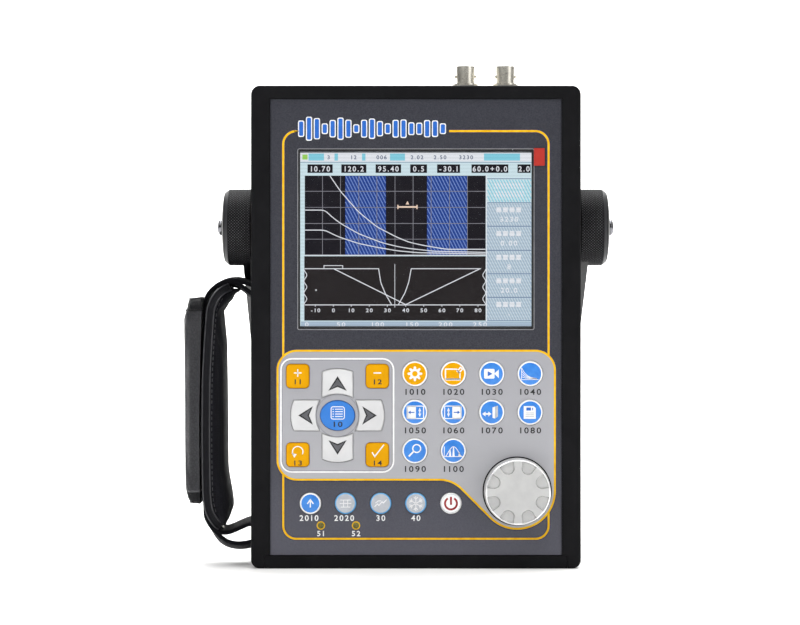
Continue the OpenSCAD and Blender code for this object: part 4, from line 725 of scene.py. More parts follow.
def put(sheet, lines=(), fills=(), width=0.5, closed=()):
    """Lines and filled outlines given about the sheet's centre."""
    for path in lines:
        sheet.line(np.asarray(path, float) + sheet.centre, width)
    for path in closed:
        sheet.line(np.asarray(path, float) + sheet.centre, width, True)
    for path in fills:
        sheet.fill(np.asarray(path, float) + sheet.centre)
    return sheet


def draw(key, material=ink_white, part="icon", layer=0, raise_by=LABEL, **shapes):
    """A whole icon in one go: its sheet, and the lines and outlines that put() takes."""
    put(icon(key, material, part, layer, raise_by), **shapes).done()


for name in GRID_KEYS:
    label(name, 5.5, ink_amber if name in ("key_setup", "key_probe") else ink_blue)
label("key_function", 4.5, ink_blue)
for name in SKY_KEYS:
    label(name, 4.65, ink_silver)

# %% Gear, block, camera and curves
teeth = np.radians(np.arange(96) * 3.75)
gear_r = 3.0 + 0.65 * np.clip(1.6 * np.cos(8 * teeth), -1, 1)
draw("key_setup", fills=[np.stack([gear_r * np.cos(teeth), gear_r * np.sin(teeth)], axis=1)])
draw("key_setup", ink_amber, "hub", 1, fills=[disc(0, 0, 1.35)])

draw("key_probe", width=0.6, fills=[box_path(-4.0, -3.3, 3.6, -2.4)],
     closed=[[(-3.9, 2.3), (1.7, 2.3), (3.3, 0.0), (3.3, -2.6), (-3.9, -2.6)],
             [(1.9, 1.3), (3.6, 3.2), (4.6, 2.3), (2.9, 0.6)]])

draw("key_capture", fills=[box_path(-3.8, -2.4, 1.4, 2.4, 0.6), [(1.2, 0.0), (3.5, 2.1), (3.5, -2.1)]])
draw("key_capture", ink_deep, "play", 1, fills=[[(-2.0, -1.3), (0.3, 0.0), (-2.0, 1.3)]])

fall = np.linspace(0, 1, 24)
curves = [np.stack([-4.2 + 7.6 * fall, -2.6 + rise * np.exp(-3.2 * fall)], axis=1)
          for rise in (5.6, 3.9, 2.4, 1.1)]
draw("key_curve", width=0.27, lines=curves + [[(-4.3, 3.0), (-4.3, -2.9), (4.2, -2.9)]])

# %% Gates, door, disk, lens and peaks
for name, side in (("key_gate_a", 1), ("key_gate_b", -1)):
    flip = np.array([side, 1])
    shapes = [box_path(-3.9, -3.1, 0.5, 3.1), [(1.7, 0.6), (2.4, 2.3), (3.1, 0.6)],
              [(1.7, -0.6), (2.4, -2.3), (3.1, -0.6)], box_path(2.15, -0.9, 2.65, 0.9)]
    draw(name, width=0.45, closed=[box_path(-3.9, -3.1, 4.3, 3.1, 0.5) * flip],
         fills=[np.array(shape) * flip for shape in shapes])
    draw(name, ink_deep, "arrow", 1, width=0.5, lines=[np.array([(-0.2, 0.0), (-2.2, 0.0)]) * flip],
         fills=[np.array([(-3.3, 0.0), (-2.1, 0.9), (-2.1, -0.9)]) * flip])

draw("key_channel", width=0.8, lines=[[(-3.4, -0.8), (-1.4, -0.8)]],
     fills=[[(-4.7, -0.8), (-3.1, 0.4), (-3.1, -2.0)], [(-0.1, -0.8), (-1.7, 0.4), (-1.7, -2.0)],
            [(0.4, 2.4), (1.6, 2.9), (1.6, -3.1), (0.4, -2.7)]])
draw("key_channel", ink_silver, "leaf", fills=[[(1.7, 2.9), (3.1, 3.3), (3.1, -2.0), (1.7, -3.1)]])

draw("key_report", fills=[[(-3.2, -3.2), (2.8, -3.2), (2.8, 2.1), (1.7, 3.1), (-3.2, 3.1)]])
draw("key_report", ink_deep, "shutter", 1,
     fills=[box_path(-1.9, 0.9, 0.4, 2.4), box_path(1.0, 1.1, 1.5, 2.3)])
draw("key_report", ink_silver, "lines", 1, width=0.35,
     lines=[[(-2.3, z), (1.9, z)] for z in (-0.3, -1.2, -2.1)])

draw("key_zoom", width=0.6, closed=[disc(0.9, 1.2, 1.95)])
draw("key_zoom", part="handle", width=0.8, lines=[[(-0.6, -0.2), (-3.0, -2.7)]])

spikes = [[(x - 0.55, -2.6), (x - 0.2, -2.6 + tall), (x + 0.2, -2.6 + tall), (x + 0.55, -2.6)]
          for x, tall in ((-1.6, 3.4), (0.1, 4.5), (3.0, 2.0))]
hill = np.linspace(-1, 1, 25)
crest = np.stack([0.1 + 3.9 * hill, -2.6 + 4.7 * np.cos(hill * math.pi / 2) ** 1.3], axis=1)
draw("key_peak", width=0.34, lines=[[(-4.5, 2.2), (-4.5, -2.8), (4.6, -2.8)], crest], fills=spikes)

# %% Lower row and arrow pad
draw("key_function", width=0.6, lines=[[(-1.5, -0.2), (0, 1.9), (1.5, -0.2)], [(0, 1.6), (0, -2.0)]])
draw("key_auto_gain", width=0.36,
     lines=[[(-2.6, 1.7), (2.6, 1.7)], [(-2.9, 0.0), (2.9, 0.0)], [(-2.4, -1.8), (2.4, -1.8)],
            [(-1.0, 1.7), (-1.0, -1.8)], [(1.1, 1.7), (1.1, -1.8)]])
draw("key_step", width=0.4,
     lines=[[(-3.0, -1.6), (-1.6, -0.2), (-0.9, -1.0), (0.7, 0.9), (1.3, 0.2), (3.0, 1.9)],
            [(-2.6, 0.2), (-1.2, 1.3), (0.2, 1.3)]])
flakes = []
for turn in range(0, 360, 60):
    way = np.array([math.cos(math.radians(turn + 30)), math.sin(math.radians(turn + 30))])
    side = np.array([-way[1], way[0]])
    flakes += [[way * 0.3, way * 3.7], [way * 2.1 + side * 0.1, way * 3.2 + side * 1.0],
               [way * 2.1 - side * 0.1, way * 3.2 - side * 1.0]]
draw("key_freeze", width=0.42, lines=flakes)

draw("key_power", ink_red, raise_by=0, width=1.0,
     lines=[arc(0, 0, 2.95, 122, 418, 40), [(0, 3.3), (0, -0.7)]])
draw("key_power", ink_silver, "groove", raise_by=0, width=0.18, closed=[disc(0, 0, 4.6)])

HEAD = np.array([(0.0, 19.4), (-4.5, 12.3), (0.0, 14.2), (4.5, 12.3)])


def grown(path, by):
    """The outline moved outwards by a distance, or inwards where it is negative."""
    one, two = edges_of(path, 2 * abs(by), True)
    return two if (np.ptp(two[:, 0]) > np.ptp(one[:, 0])) == (by > 0) else one


for name, turn in ARROW_TURN.items():
    c, s = math.cos(math.radians(turn)), math.sin(math.radians(turn))
    spin = np.array([[c, s], [-s, c]])
    for part, ink, path, level in (("head_edge", ink_black, grown(HEAD, 0.05), 0),
                                   ("head", ink_grey, grown(HEAD, -0.7), 1)):
        sheet = icon(name, ink, part, level, 0)
        sheet.centre = np.array([PAD_X, PAD_Z])
        put(sheet, fills=[path @ spin]).done()

# %% Menu and corner keys
LIST_Z = (3.1, 1.9, 0.7, -0.5)
draw("key_menu", part="list", raise_by=0, width=0.4, closed=[box_path(-3.2, -1.8, 3.4, 4.3, 1.0)],
     lines=[[(-1.2, z), (2.6, z)] for z in LIST_Z] + [[(-2.5, z), (-1.8, z)] for z in LIST_Z])
icon("key_menu", ink_black, "number", raise_by=0).number("10", PAD_X, PAD_Z - 4.3, 2.7, 1.3).done()
for name, words, drop in zip(CORNER_KEYS, ["11", "12", "13", "14"], (2.7, 2.7, 4.0, 4.0)):
    sheet = icon(name, ink_black, "number", raise_by=0)
    sheet.number(words, sheet.centre[0], sheet.centre[1] - drop, 2.5, 1.3).done()
draw("key_gain_up", raise_by=0, width=0.6, lines=[[(-1.9, 1.6), (1.9, 1.6)], [(0, 3.5), (0, -0.3)]])
draw("key_gain_down", raise_by=0, width=0.6, lines=[[(-1.9, 1.6), (1.9, 1.6)]])
draw("key_back", raise_by=0, width=0.5, lines=[arc(0, 1.5, 2.6, -28, 215, 24)],
    fills=[[(-3.1, 0.9), (-0.5, 0.2), (-1.7, -1.5)]])
draw("key_confirm", raise_by=0, width=0.6, lines=[[(-2.6, 1.2), (-1.3, -0.9), (3.3, 5.0)]])

# %% [markdown]
# ## The picture on the screen
#
# The display shows an echo plot: decay curves over a grid with two blue gates, a drawing of the weld with
# the sound path below it, a row of readings above and a menu on the right. It is drawn from the
# photograph's pixels, carried back to the depth of the display's glass. Words become bars or numbers.

# %% Screen base
GLASS_Y = low("lcd_module")[1] + 0.8
STEP = 0.06


def layer(name, glow, level):
    """A sheet of light of one colour, level steps in front of the display's glass."""
    return Sheet("screen_" + name, GLOW[glow], GLASS_Y - (level + 1) * STEP, GLASS_Y - level * STEP)


def px(*points):
    """Photograph's pixels as points on the display's glass."""
    return np.array([on_plane(a, b, GLASS_Y) for a, b in points])


def px_box(x0, y0, x1, y1):
    return px((x0, y1), (x1, y1), (x1, y0), (x0, y0))


def hatch(sheet, x0, y0, x1, y1, pitch, width, slope=0.5):
    """Slanting lines over a box of pixels: x = start + slope * (y - y0), kept between x0 and x1."""
    for start in np.arange(x0 - slope * (y1 - y0) + pitch, x1, pitch):
        top = max(y0, y0 + (x0 - start) / slope)
        bottom = min(y1, y0 + (x1 - start) / slope)
        if bottom - top > 0.6:
            sheet.line(px((start + slope * (top - y0), top), (start + slope * (bottom - y0), bottom)), width)
    return sheet


layer("ground", "pale", 0).fill(px_box(299.7, 151.2, 532.1, 327.6)).done()
layer("plots", "black", 1).fill(px_box(304.8, 175.7, 485.7, 255.6)).done()
layer("weld", "umber", 1).fill(px_box(304.3, 256.2, 485.7, 320.6)).done()
layer("menu", "menu", 1).fill(px_box(487.0, 203.0, 531.4, 320.4)).done()
bar = layer("bar", "white", 1)
for corners in ((300.3, 152.0, 531.8, 161.6), (486.0, 175.0, 487.0, 327.0), (494.0, 182.5, 524.0, 188.5),
                (494.0, 191.5, 524.0, 197.5)):
    bar.fill(px_box(*corners))
bar.done()
hatched = layer("hatching", "hatch", 2)
for y0, y1 in ((203.2, 225.8), (227.0, 249.8), (251.0, 273.2), (274.4, 296.9), (298.1, 320.2)):
    hatch(hatched, 487.4, y0, 531.2, y1, 2.7, 0.42)
hatched.done()

# %% Plot
bands = layer("bands", "band", 2)
stripes = layer("stripes", "stripe", 3)
for x0, x1 in ((345.2, 385.9), (427.0, 467.2)):
    bands.fill(px_box(x0, 175.9, x1, 255.2))
    hatch(stripes, x0 + 0.3, 176.2, x1 - 0.3, 254.8, 3.3, 0.42)
bands.done()
stripes.done()
grid = layer("grid", "grid", 4)
for x in (322.5, 340.5, 358.8, 376.9, 395.0, 413.1, 431.1, 449.6, 467.4):
    grid.line(px((x, 175.9), (x, 255.0)), 0.3)
for y in (191.3, 207.4, 223.5, 239.2):
    grid.line(px((304.9, y), (485.6, y)), 0.3)
grid.done()


def soft(points, n=60):
    """A smooth line through points: each coordinate is interpolated along the way, then averaged."""
    p = np.asarray(points, float)
    s = np.concatenate([[0], np.cumsum(np.linalg.norm(np.diff(p, axis=0), axis=1))])
    t = np.linspace(0, s[-1], n)
    q = np.stack([np.interp(t, s, p[:, k]) for k in (0, 1)], axis=1)
    q[1:-1] = (q[:-2] + 2 * q[1:-1] + q[2:]) / 4
    return q


traces = layer("traces", "white", 5)
DECAYS = [
    [(329.9, 175.8), (340.5, 191.3), (358.3, 211.7), (376.9, 226.9), (396.4, 237.0), (409.0, 242.2),
     (423.3, 245.4), (446.5, 249.3), (485.5, 249.3)],
    [(305.0, 210.1), (324.8, 210.1), (332.0, 217.0), (340.5, 223.4), (358.3, 233.6), (381.6, 242.6),
     (397.2, 246.5), (410.0, 248.6), (434.9, 251.3), (485.5, 252.4)],
    [(305.0, 230.1), (324.8, 230.1), (336.5, 236.0), (345.8, 239.3), (358.3, 243.4), (376.9, 247.3),
     (397.2, 250.8), (418.0, 252.7), (485.5, 254.0)]]
for points in DECAYS:
    traces.line(soft(px(*points)), 0.45)
traces.line(px((304.9, 255.2), (485.6, 255.2)), 0.35)

# %% Weld drawing
TICK_X = (315.3, 333.4, 351.3, 369.3, 387.4, 405.7, 423.7, 441.9, 459.8, 478.0)
PLATE, THIN = 0.42, 0.35
for y, x0, x1 in ((268.7, 304.6, 379.0), (268.7, 411.0, 481.0), (304.9, 304.6, 485.4)):
    traces.line(px((x0, y), (x1, y)), PLATE)
traces.line(px((324.0, 268.6), (324.0, 265.6), (342.7, 265.6), (342.7, 268.6)), THIN)
for points in ([(378.6, 268.7), (380.8, 282.7), (385.5, 294.0), (391.7, 304.8)],
               [(411.2, 268.7), (408.8, 281.9), (405.0, 292.8), (398.3, 304.8)]):
    traces.line(soft(px(*points), 24), PLATE)
traces.line(px((394.8, 264.0), (394.8, 307.5)), 0.26)
traces.line(px((334.2, 269.0), (405.7, 304.6), (479.7, 268.9)), 0.45)
wave = np.linspace(0, 1, 40)
for x, side in ((305.4, 1), (484.2, -1)):
    traces.line(px(*[(x - 1.4 * side * math.cos(6 * math.pi * t), 269.2 + 35.6 * t) for t in wave]), 0.36)
for x in TICK_X:
    traces.line(px((x, 305.0), (x, 306.6)), 0.3)
traces.fill(disc(*on_plane(316.1, 290.1, GLASS_Y), 0.4, 16))
traces.done()
gate = layer("gate", "blush", 6)
gate.line(px((397.9, 207.0), (417.0, 207.0)), 0.8)
gate.line(px((397.9, 204.9), (397.9, 209.1)), 0.6)
gate.line(px((417.0, 204.9), (417.0, 209.1)), 0.6)
gate.fill(px((405.6, 204.5), (409.2, 204.5), (407.4, 201.0))).done()

# %% Readings, axis and menu
boxes = layer("boxes", "black", 2)
readings = layer("readings", "white", 3)
for x0, x1, words in ((307.5, 332.7, "10.70"), (341.3, 366.4, "120.2"), (375.6, 401.1, "95.40"),
                      (410.2, 427.0, "0.5"), (437.1, 460.0, "-30.1"), (471.5, 508.3, "60.0+0.0"),
                      (517.5, 530.6, "2.0")):
    boxes.fill(px_box(x0, 164.4, x1, 172.9))
    x, z = on_plane((x0 + x1) / 2, 168.7, GLASS_Y)
    readings.number(words, x, z, 2.7, 0.98)
boxes.done()
for order, x in enumerate(TICK_X):
    readings.number(str(10 * order - 10), *on_plane(x, 310.2, GLASS_Y), 1.9, 1.15)
for y, words in ((214.5, "3230"), (238.3, "0.00"), (262.0, "8"), (285.5, "20.0"), (309.2, "-")):
    readings.number(words, *on_plane(509.0, y + 4.6, GLASS_Y), 2.5, 1.1)
    for x in (499.0, 505.6, 512.2, 518.8):
        readings.fill(px_box(x - 2.6, y - 7.2, x + 2.2, y - 2.2))
readings.done()
small = layer("small_numbers", "slate", 3)
for x, words in ((328.6, "3"), (353.6, "12"), (381.6, "006"), (417.0, "2.02"), (440.0, "2.50"),
                 (466.0, "3230")):
    small.number(words, *on_plane(x, 157.2, GLASS_Y), 2.0, 1.05)
small.done()
rules = layer("rules", "rule", 4)
for y in (178.7, 202.5, 226.3, 250.3, 273.7, 297.4, 320.6):
    rules.line(px((487.2, y), (531.2, y)), 0.35)
rules.line(px((300.5, 162.5), (531.6, 162.5)), 0.25)
rules.done()
tints = layer("tints", "cyan", 2)
for x0, x1 in ((308.5, 324.0), (334.5, 338.0), (362.0, 365.5), (390.0, 405.0), (484.0, 520.0)):
    tints.fill(px_box(x0, 153.5, x1, 160.6))
hatch(tints, 487.6, 179.6, 531.0, 202.0, 3.0, 0.5).done()
layer("battery_mark", "green", 2).fill(px_box(302.4, 154.6, 307.6, 159.6)).done()
layer("foot_bar", "menu", 2).fill(px_box(301.0, 321.6, 531.4, 327.0)).done()
foot_marks = layer("foot_marks", "white", 3)
for order, x in enumerate((306.8, 341.0, 377.6, 412.0, 445.5, 480.0)):
    foot_marks.number(str(50 * order), *on_plane(x, 324.3, GLASS_Y), 2.2, 1.3)
foot_marks.done()
print("screen drawn")

# %% [markdown]
# ## Jog knob
#
# The knob is turned from aluminium, satin anodised on top, with a polished bevel and eight U-shaped flutes
# for the fingers. The bevel's near-white tone is part real polish, part painted highlight, and the flute
# walls
# are a darker tone: painted shade. It is one surface of revolution: wherever a point lies inside a flute, it
# is pushed down to the flute's floor. The push fades over half a millimetre, which rounds the flute's edge.

# %% Knob
DULL = {"Metallic": 0.35}
anodised = moulded("anodised_aluminium_satin", "#bababa", "#c5c5c4", 0.42, 0.35, 0.02, 6.0, DULL)
# The bevel's near-white tone: part real polish, part painted highlight.
polished_highlight = moulded("polished_aluminium_painted_highlight", "#f0f0f0", "#fafafa", 0.2, 0.6, 0.002, 6.0, {"Metallic": 0.45})
# A darker tone on the flute walls: painted shade.
flute_wall_shade = moulded("aluminium_flute_wall_painted_shade", "#9c9c9b", "#adadac", 0.3, 0.4, 0.008, 6.0, DULL)
KNOB_FRONT, KNOB_BACK = low("jog_knob")[1], high("jog_knob")[1]
KNOB_H = KNOB_BACK - KNOB_FRONT
KNOB_R, FACE_R, FLUTE_END = 16.5, 15.3, 15.55
KNOB_SIDES, FACE_RINGS = 384, 70
FLUTES, FLUTE_W, FLUTE_IN, FLUTE_D = 8, 6.3, 12.9, 1.3
SEAT_IN, SEAT_OUT = 16.65, 17.2


def flute_share(t, r):
    """0 outside the flutes, 1 on their floors. The distance inside a flute is half its width, which grows
    towards the rim, minus the distance to its centre line. The flutes end just inside the rim."""
    step = 2 * math.pi / FLUTES
    turn = (t / step - np.floor(t / step) - 0.5) * step
    u, v = r * np.cos(turn), r * np.sin(turn)
    half = FLUTE_W / 2 + 0.28 * np.clip(u - FLUTE_IN, 0, None)
    share = np.clip((half - np.hypot(np.minimum(u - FLUTE_IN, 0), v) + 0.1) / 0.5, 0, 1)
    share *= np.clip((FLUTE_END - r) / 0.45, 0, 1)
    return share * share * (3 - 2 * share)


def flute_ripple(t, r, h):
    """Pushes points inside a flute down towards its floor."""
    return r, h - flute_share(t, r) * np.clip(h - (KNOB_H - FLUTE_D), 0, None)


face_r = np.linspace(0.0, FACE_R, FACE_RINGS)
dish = 0.12 * np.clip(face_r / FACE_R, 0, 1) ** 4
profile = ([(r, KNOB_H - d) for r, d in zip(face_r, dish)]
           + [(FLUTE_END, KNOB_H - 0.1), (15.75, KNOB_H - 0.18), (16.1, KNOB_H - 0.55), (16.2, KNOB_H - 0.85)]
           + [(16.22, h) for h in np.linspace(KNOB_H - 1.3, 1.9, 10)]
           + [(KNOB_R - 0.2, 1.6), (KNOB_R, 1.4), (KNOB_R, 0.3), (KNOB_R - 0.2, 0.0)]
           + [(7.5, 0.0), (7.5, 3.0), (0, 3.0)])
points, faces = turned(profile, (KNOB_X, KNOB_BACK, KNOB_Z), "-y", KNOB_SIDES, flute_ripple)
strip = np.tile(np.arange(len(profile) - 1), KNOB_SIDES)
face_t = (np.repeat(np.arange(KNOB_SIDES), len(profile) - 1) + 0.5) * 2 * math.pi / KNOB_SIDES
ring_r = np.array([r for r, _ in profile])
on_wall = flute_share(face_t, (ring_r[strip] + ring_r[strip + 1]) / 2)
flute_wall = (strip < FACE_RINGS - 1) & (on_wall > 0.08) & (on_wall < 0.8)
bevel = (strip >= FACE_RINGS - 1) & (strip <= FACE_RINGS + 2)
slots = np.where(flute_wall, 2, np.where(bevel, 1, 0))
knob = piece("jog_knob_turned", points, faces, [anodised, polished_highlight, flute_wall_shade], "knob", 28, slots)
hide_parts("jog_knob")
# A dark rubber ring at the knob's foot: part a real seat, part painted shadow.
seat_and_shadow = [(SEAT_IN, 0), (SEAT_IN, 0.3), (SEAT_OUT - 0.2, 0.3), (SEAT_OUT, 0.15), (SEAT_OUT, 0), (SEAT_IN, 0)]
piece("knob_seat_ring_and_shadow", *turned(seat_and_shadow, (KNOB_X, OVER_Y, KNOB_Z), "-y"), seal_rubber)
print("knob height", round(KNOB_H, 2), "mm")

# %% [markdown]
# ## Hubs
#
# Each hub is a drum with a diamond knurl, a bevel, and a shallow domed cap. The bevel is a paler ring:
# painted highlight. The knurl's tips are a paler tone than its grooves. The knurl's height is the lower of
# two triangle waves that climb the drum in opposite directions, which leaves rows of small pyramids, 1.45 mm
# apart.

# %% Knurled drums and caps
PIVOT_Z = 170.3
HUB_R = 19.05
DRUM = (82.75, high("hub_drums")[0])
DRUM_BORE, STUD_BORE, DRUM_CORE, SCREW_BORE = 17.5, 5.1, 7.0, 2.1
KNURL_MM, KNURL_D = 1.45, 0.32
KNURLS = round(2 * math.pi * HUB_R / KNURL_MM)
DRUM_SIDES, DRUM_RINGS, CAP_SIDES = 6 * KNURLS, 46, 120


def triangle(value):
    return np.abs(2 * (value - np.floor(value)) - 1)


def pyramids(around, along):
    """The lower of two crossed triangle waves: 0 in the grooves, 1 on the tips."""
    return np.minimum(triangle(around + along), triangle(around - along))


def knurl(t, r, h):
    """Raises points of the rim."""
    rise = pyramids(t * KNURLS / (2 * math.pi), h / KNURL_MM) * KNURL_D
    rim = (r > HUB_R - 0.01) & (h > 0.25) & (h < DRUM[1] - DRUM[0] - 0.2)
    return np.where(rim, HUB_R + rise, r), h


hub_abs = moulded("moulded_nylon_black", "#0e0e10", "#141416", 0.5, 0.5, 0.01, extra=MATT)
# The knurl's tips are a paler tone than its grooves.
hub_pale_tip = moulded("moulded_nylon_pale_tips", "#3e3e40", "#4e4e50", 0.45, 0.5, 0.01, extra=MATT)
# The cap's bevel is a paler ring: painted highlight.
hub_bevel_highlight = moulded("moulded_nylon_bevel_painted_highlight", "#262628", "#303033", 0.4, 0.5, 0.006,
                    extra={"Specular IOR Level": 0.2})
hub_dome = moulded("moulded_nylon_satin", "#0e0e10", "#131315", 0.4, 0.5, 0.006,
                   extra={"Specular IOR Level": 0.12})
rim_h = np.linspace(0, DRUM[1] - DRUM[0], DRUM_RINGS)
core_h = rim_h[-1] - DRUM_CORE
drum_profile = ([(DRUM_BORE, 0)] + [(HUB_R, h) for h in rim_h]
                + [(STUD_BORE, rim_h[-1]), (STUD_BORE, core_h), (DRUM_BORE, core_h), (DRUM_BORE, 0)])
DOME_H, BEVEL_H, BEVEL = 1.9, 1.8, 1.25
dome_t = np.radians(np.linspace(0, 83, 24))
cap_profile = ([(SCREW_BORE, 0), (HUB_R - 0.05, 0), (HUB_R, 0.25), (HUB_R - BEVEL + 0.1, BEVEL_H - 0.1)]
               + [((HUB_R - BEVEL) * math.cos(t), BEVEL_H + DOME_H * math.sin(t) / math.sin(dome_t[-1]))
                  for t in dome_t] + [(SCREW_BORE, 0)])
around = (np.repeat(np.arange(DRUM_SIDES), len(drum_profile) - 1) + 0.5) / 6
which = np.tile(np.arange(len(drum_profile) - 1), DRUM_SIDES)
height_at = np.array([h for _, h in drum_profile])
along = (height_at[which] + height_at[which + 1]) / 2 / KNURL_MM
tips = ((pyramids(around, along) > 0.5) & (which > 2) & (which < DRUM_RINGS - 2)).astype(int)
for side, word in ((1, "right"), (-1, "left")):
    flip = np.array([side, 1, 1])
    points, faces = turned(drum_profile, (DRUM[0], 0, PIVOT_Z), "x", DRUM_SIDES, knurl)
    drum = piece(f"hub_knurl_{word}", points * flip, faces, [hub_abs, hub_pale_tip], "bail", 50, tips)
    points, faces = turned(cap_profile, (DRUM[1], 0, PIVOT_Z), "x", CAP_SIDES)
    strip = np.tile(np.arange(len(cap_profile) - 1), CAP_SIDES)
    cap = piece(f"hub_cap_{word}", points * flip, faces, [hub_dome, hub_bevel_highlight], "bail", 40,
                np.where((strip >= 1) & (strip <= 2), 1, 0))
    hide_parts("hub_drums")
    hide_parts("hub_caps")
print("knurls round a drum:", KNURLS)

# %% [markdown]
# A chrome screw holds each hub on its stud. Its head is a low dome with a slot, which came to rest at a
# slant when the screw was tightened. Points within the slot's width are pushed down to its floor.

# %% Retaining screws
SCREW_IN, SCREW_OUT = 86.1, high("retaining_screws")[0]
SHANK_R, HEAD_R, HEAD_X, HEAD_RIM = 2.0, 4.2, 98.0, 0.6
SLOT_W, SLOT_D, SLOT_TURN = 1.3, 0.9, math.radians(52)


def slotted(t, r, h):
    """Lowers points that lie within half the slot's width of its centre line."""
    share = np.clip((SLOT_W / 2 - np.abs(r * np.sin(t - SLOT_TURN))) / 0.12, 0, 1)
    return r, h - share * np.clip(h - (SCREW_OUT - SCREW_IN - SLOT_D), 0, None)


dome_t = np.radians(np.linspace(0, 90, 30))
base_h, top_h = HEAD_X - SCREW_IN, SCREW_OUT - SCREW_IN
screw_profile = ([(0, 0), (SHANK_R, 0), (SHANK_R, base_h), (HEAD_R - 0.1, base_h), (HEAD_R, base_h + 0.1)]
                 + [(HEAD_R * math.cos(t), base_h + HEAD_RIM + (top_h - base_h - HEAD_RIM) * math.sin(t))
                    for t in dome_t])
for side, word in ((1, "right"), (-1, "left")):
    points, faces = turned(screw_profile, (SCREW_IN, 0, PIVOT_Z), "x", ripple=slotted)
    screw = piece(f"retaining_screw_{word}", points * np.array([side, 1, 1]), faces, chrome, "case", 40)
    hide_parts("retaining_screws")
print("retaining screws:", 2)

# %% [markdown]
# ## Bail grip
#
# A rubber sleeve on the crossbar, with shallow grooves every 5 mm and rounded ends. It is turned about the
# crossbar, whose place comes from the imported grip's own box.

# %% Grip
GRIP_R, BAR_R, GROOVE_MM, GROOVE_D = 9.2, 6.1, 5.0, 0.7
_, bar_y, bar_z = middle("bail_grip")
grip_x = np.linspace(low("bail_grip")[0], high("bail_grip")[0], 337)
from_end = np.minimum(grip_x - grip_x[0], grip_x[-1] - grip_x)
groove = np.clip(np.cos(2 * math.pi * grip_x / GROOVE_MM) - 0.55, 0, 1) / 0.45
grip_r = (GRIP_R - GROOVE_D * groove * np.clip((from_end - 5) / 3, 0, 1)
          - 1.1 * np.clip(1 - from_end / 1.6, 0, 1) ** 2)
grip_profile = [(BAR_R, grip_x[0])] + list(zip(grip_r, grip_x)) + [(BAR_R, grip_x[-1]), (BAR_R, grip_x[0])]
grip = piece("bail_grip_ribbed", *turned(grip_profile, (0, bar_y, bar_z), "x", 64), grip_rubber, "bail", 60)
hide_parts("bail_grip")

# %% [markdown]
# ## Hand strap
#
# One length of nylon webbing runs from inside the pad's upper end over the case's upper bar, back over
# the top, down between pad and outer panel, under the bottom, round the lower bar and into the pad's
# lower end. It is a strip carried along one smooth path through points measured on the photograph. Its
# weave follows the surface, so it reads a UV map in millimetres: along the strap and across it. Between
# pad and panel, left of PRESSED_X and within PRESSED_HALF of the height PRESSED_Z, it is pressed to about
# half its thickness. Where it runs free it leans over a little, so the front view shows part of its flat
# side. The lean starts and ends at the stretch that lies left of OUTER_X.

# %% Smooth paths and strips
def spline(points, n):
    """Catmull-Rom curve: between two points, a cubic whose slopes are half the step across each one."""
    p = np.asarray(points, float)
    p = np.concatenate([[2 * p[0] - p[1]], p, [2 * p[-1] - p[-2]]])
    t = np.linspace(0, len(p) - 3, n)
    i = np.minimum(t.astype(int), len(p) - 4)
    u = (t - i)[:, None]
    a, b, c, d = p[i], p[i + 1], p[i + 2], p[i + 3]
    return 0.5 * (2 * b + (c - a) * u + (2 * a - 5 * b + 4 * c - d) * u ** 2
                  + (3 * b - a - 3 * c + d) * u ** 3)


def even(path, step):
    """The same path with its points the same distance apart."""
    s = np.concatenate([[0], np.cumsum(np.linalg.norm(np.diff(path, axis=0), axis=1))])
    t = np.linspace(0, s[-1], max(2, round(s[-1] / step) + 1))
    return np.stack([np.interp(t, s, path[:, k]) for k in range(path.shape[1])], axis=1), t


def carried(path, section):
    """Carries closed sections (n, y) along a path (x, z): a point goes to path + n * normal, at depth y.

    section has one ring for every point of the path. Both ends are closed by a face."""
    way = np.gradient(path, axis=0)
    way /= np.linalg.norm(way, axis=1)[:, None]
    side = np.stack([way[:, 1], -way[:, 0]], axis=1)
    n, y = section[..., 0], section[..., 1]
    x, z = (path[:, None, k] + n * side[:, None, k] for k in (0, 1))
    points = np.stack([x, y, z], axis=-1)
    rings, k = section.shape[:2]
    ends = [list(range(k)), list(range(rings * k - 1, (rings - 1) * k - 1, -1))]
    return points.reshape(-1, 3), quads(rings, k, False, True).tolist() + ends


def oval(half_n, half_y, power_n, power_y, k=28):
    """Superellipse: n = half_n * sin^power_n, y = half_y * cos^power_y, with the signs kept."""
    a = np.arange(k) * 2 * math.pi / k
    s, c = np.sin(a), np.cos(a)
    return np.stack([half_n * np.sign(s) * np.abs(s) ** power_n,
                     half_y * np.sign(c) * np.abs(c) ** power_y], axis=1)


def at_front(points, y=-25.0):
    """Points (x, z) read at mid depth, carried along the lines of sight to depth y."""
    share = (y - CAMERA_AT[1]) / -CAMERA_AT[1]
    middle_of_view = np.array([CAMERA_AT[0], CAMERA_AT[2]])
    return middle_of_view + (np.asarray(points, float) - middle_of_view) * share


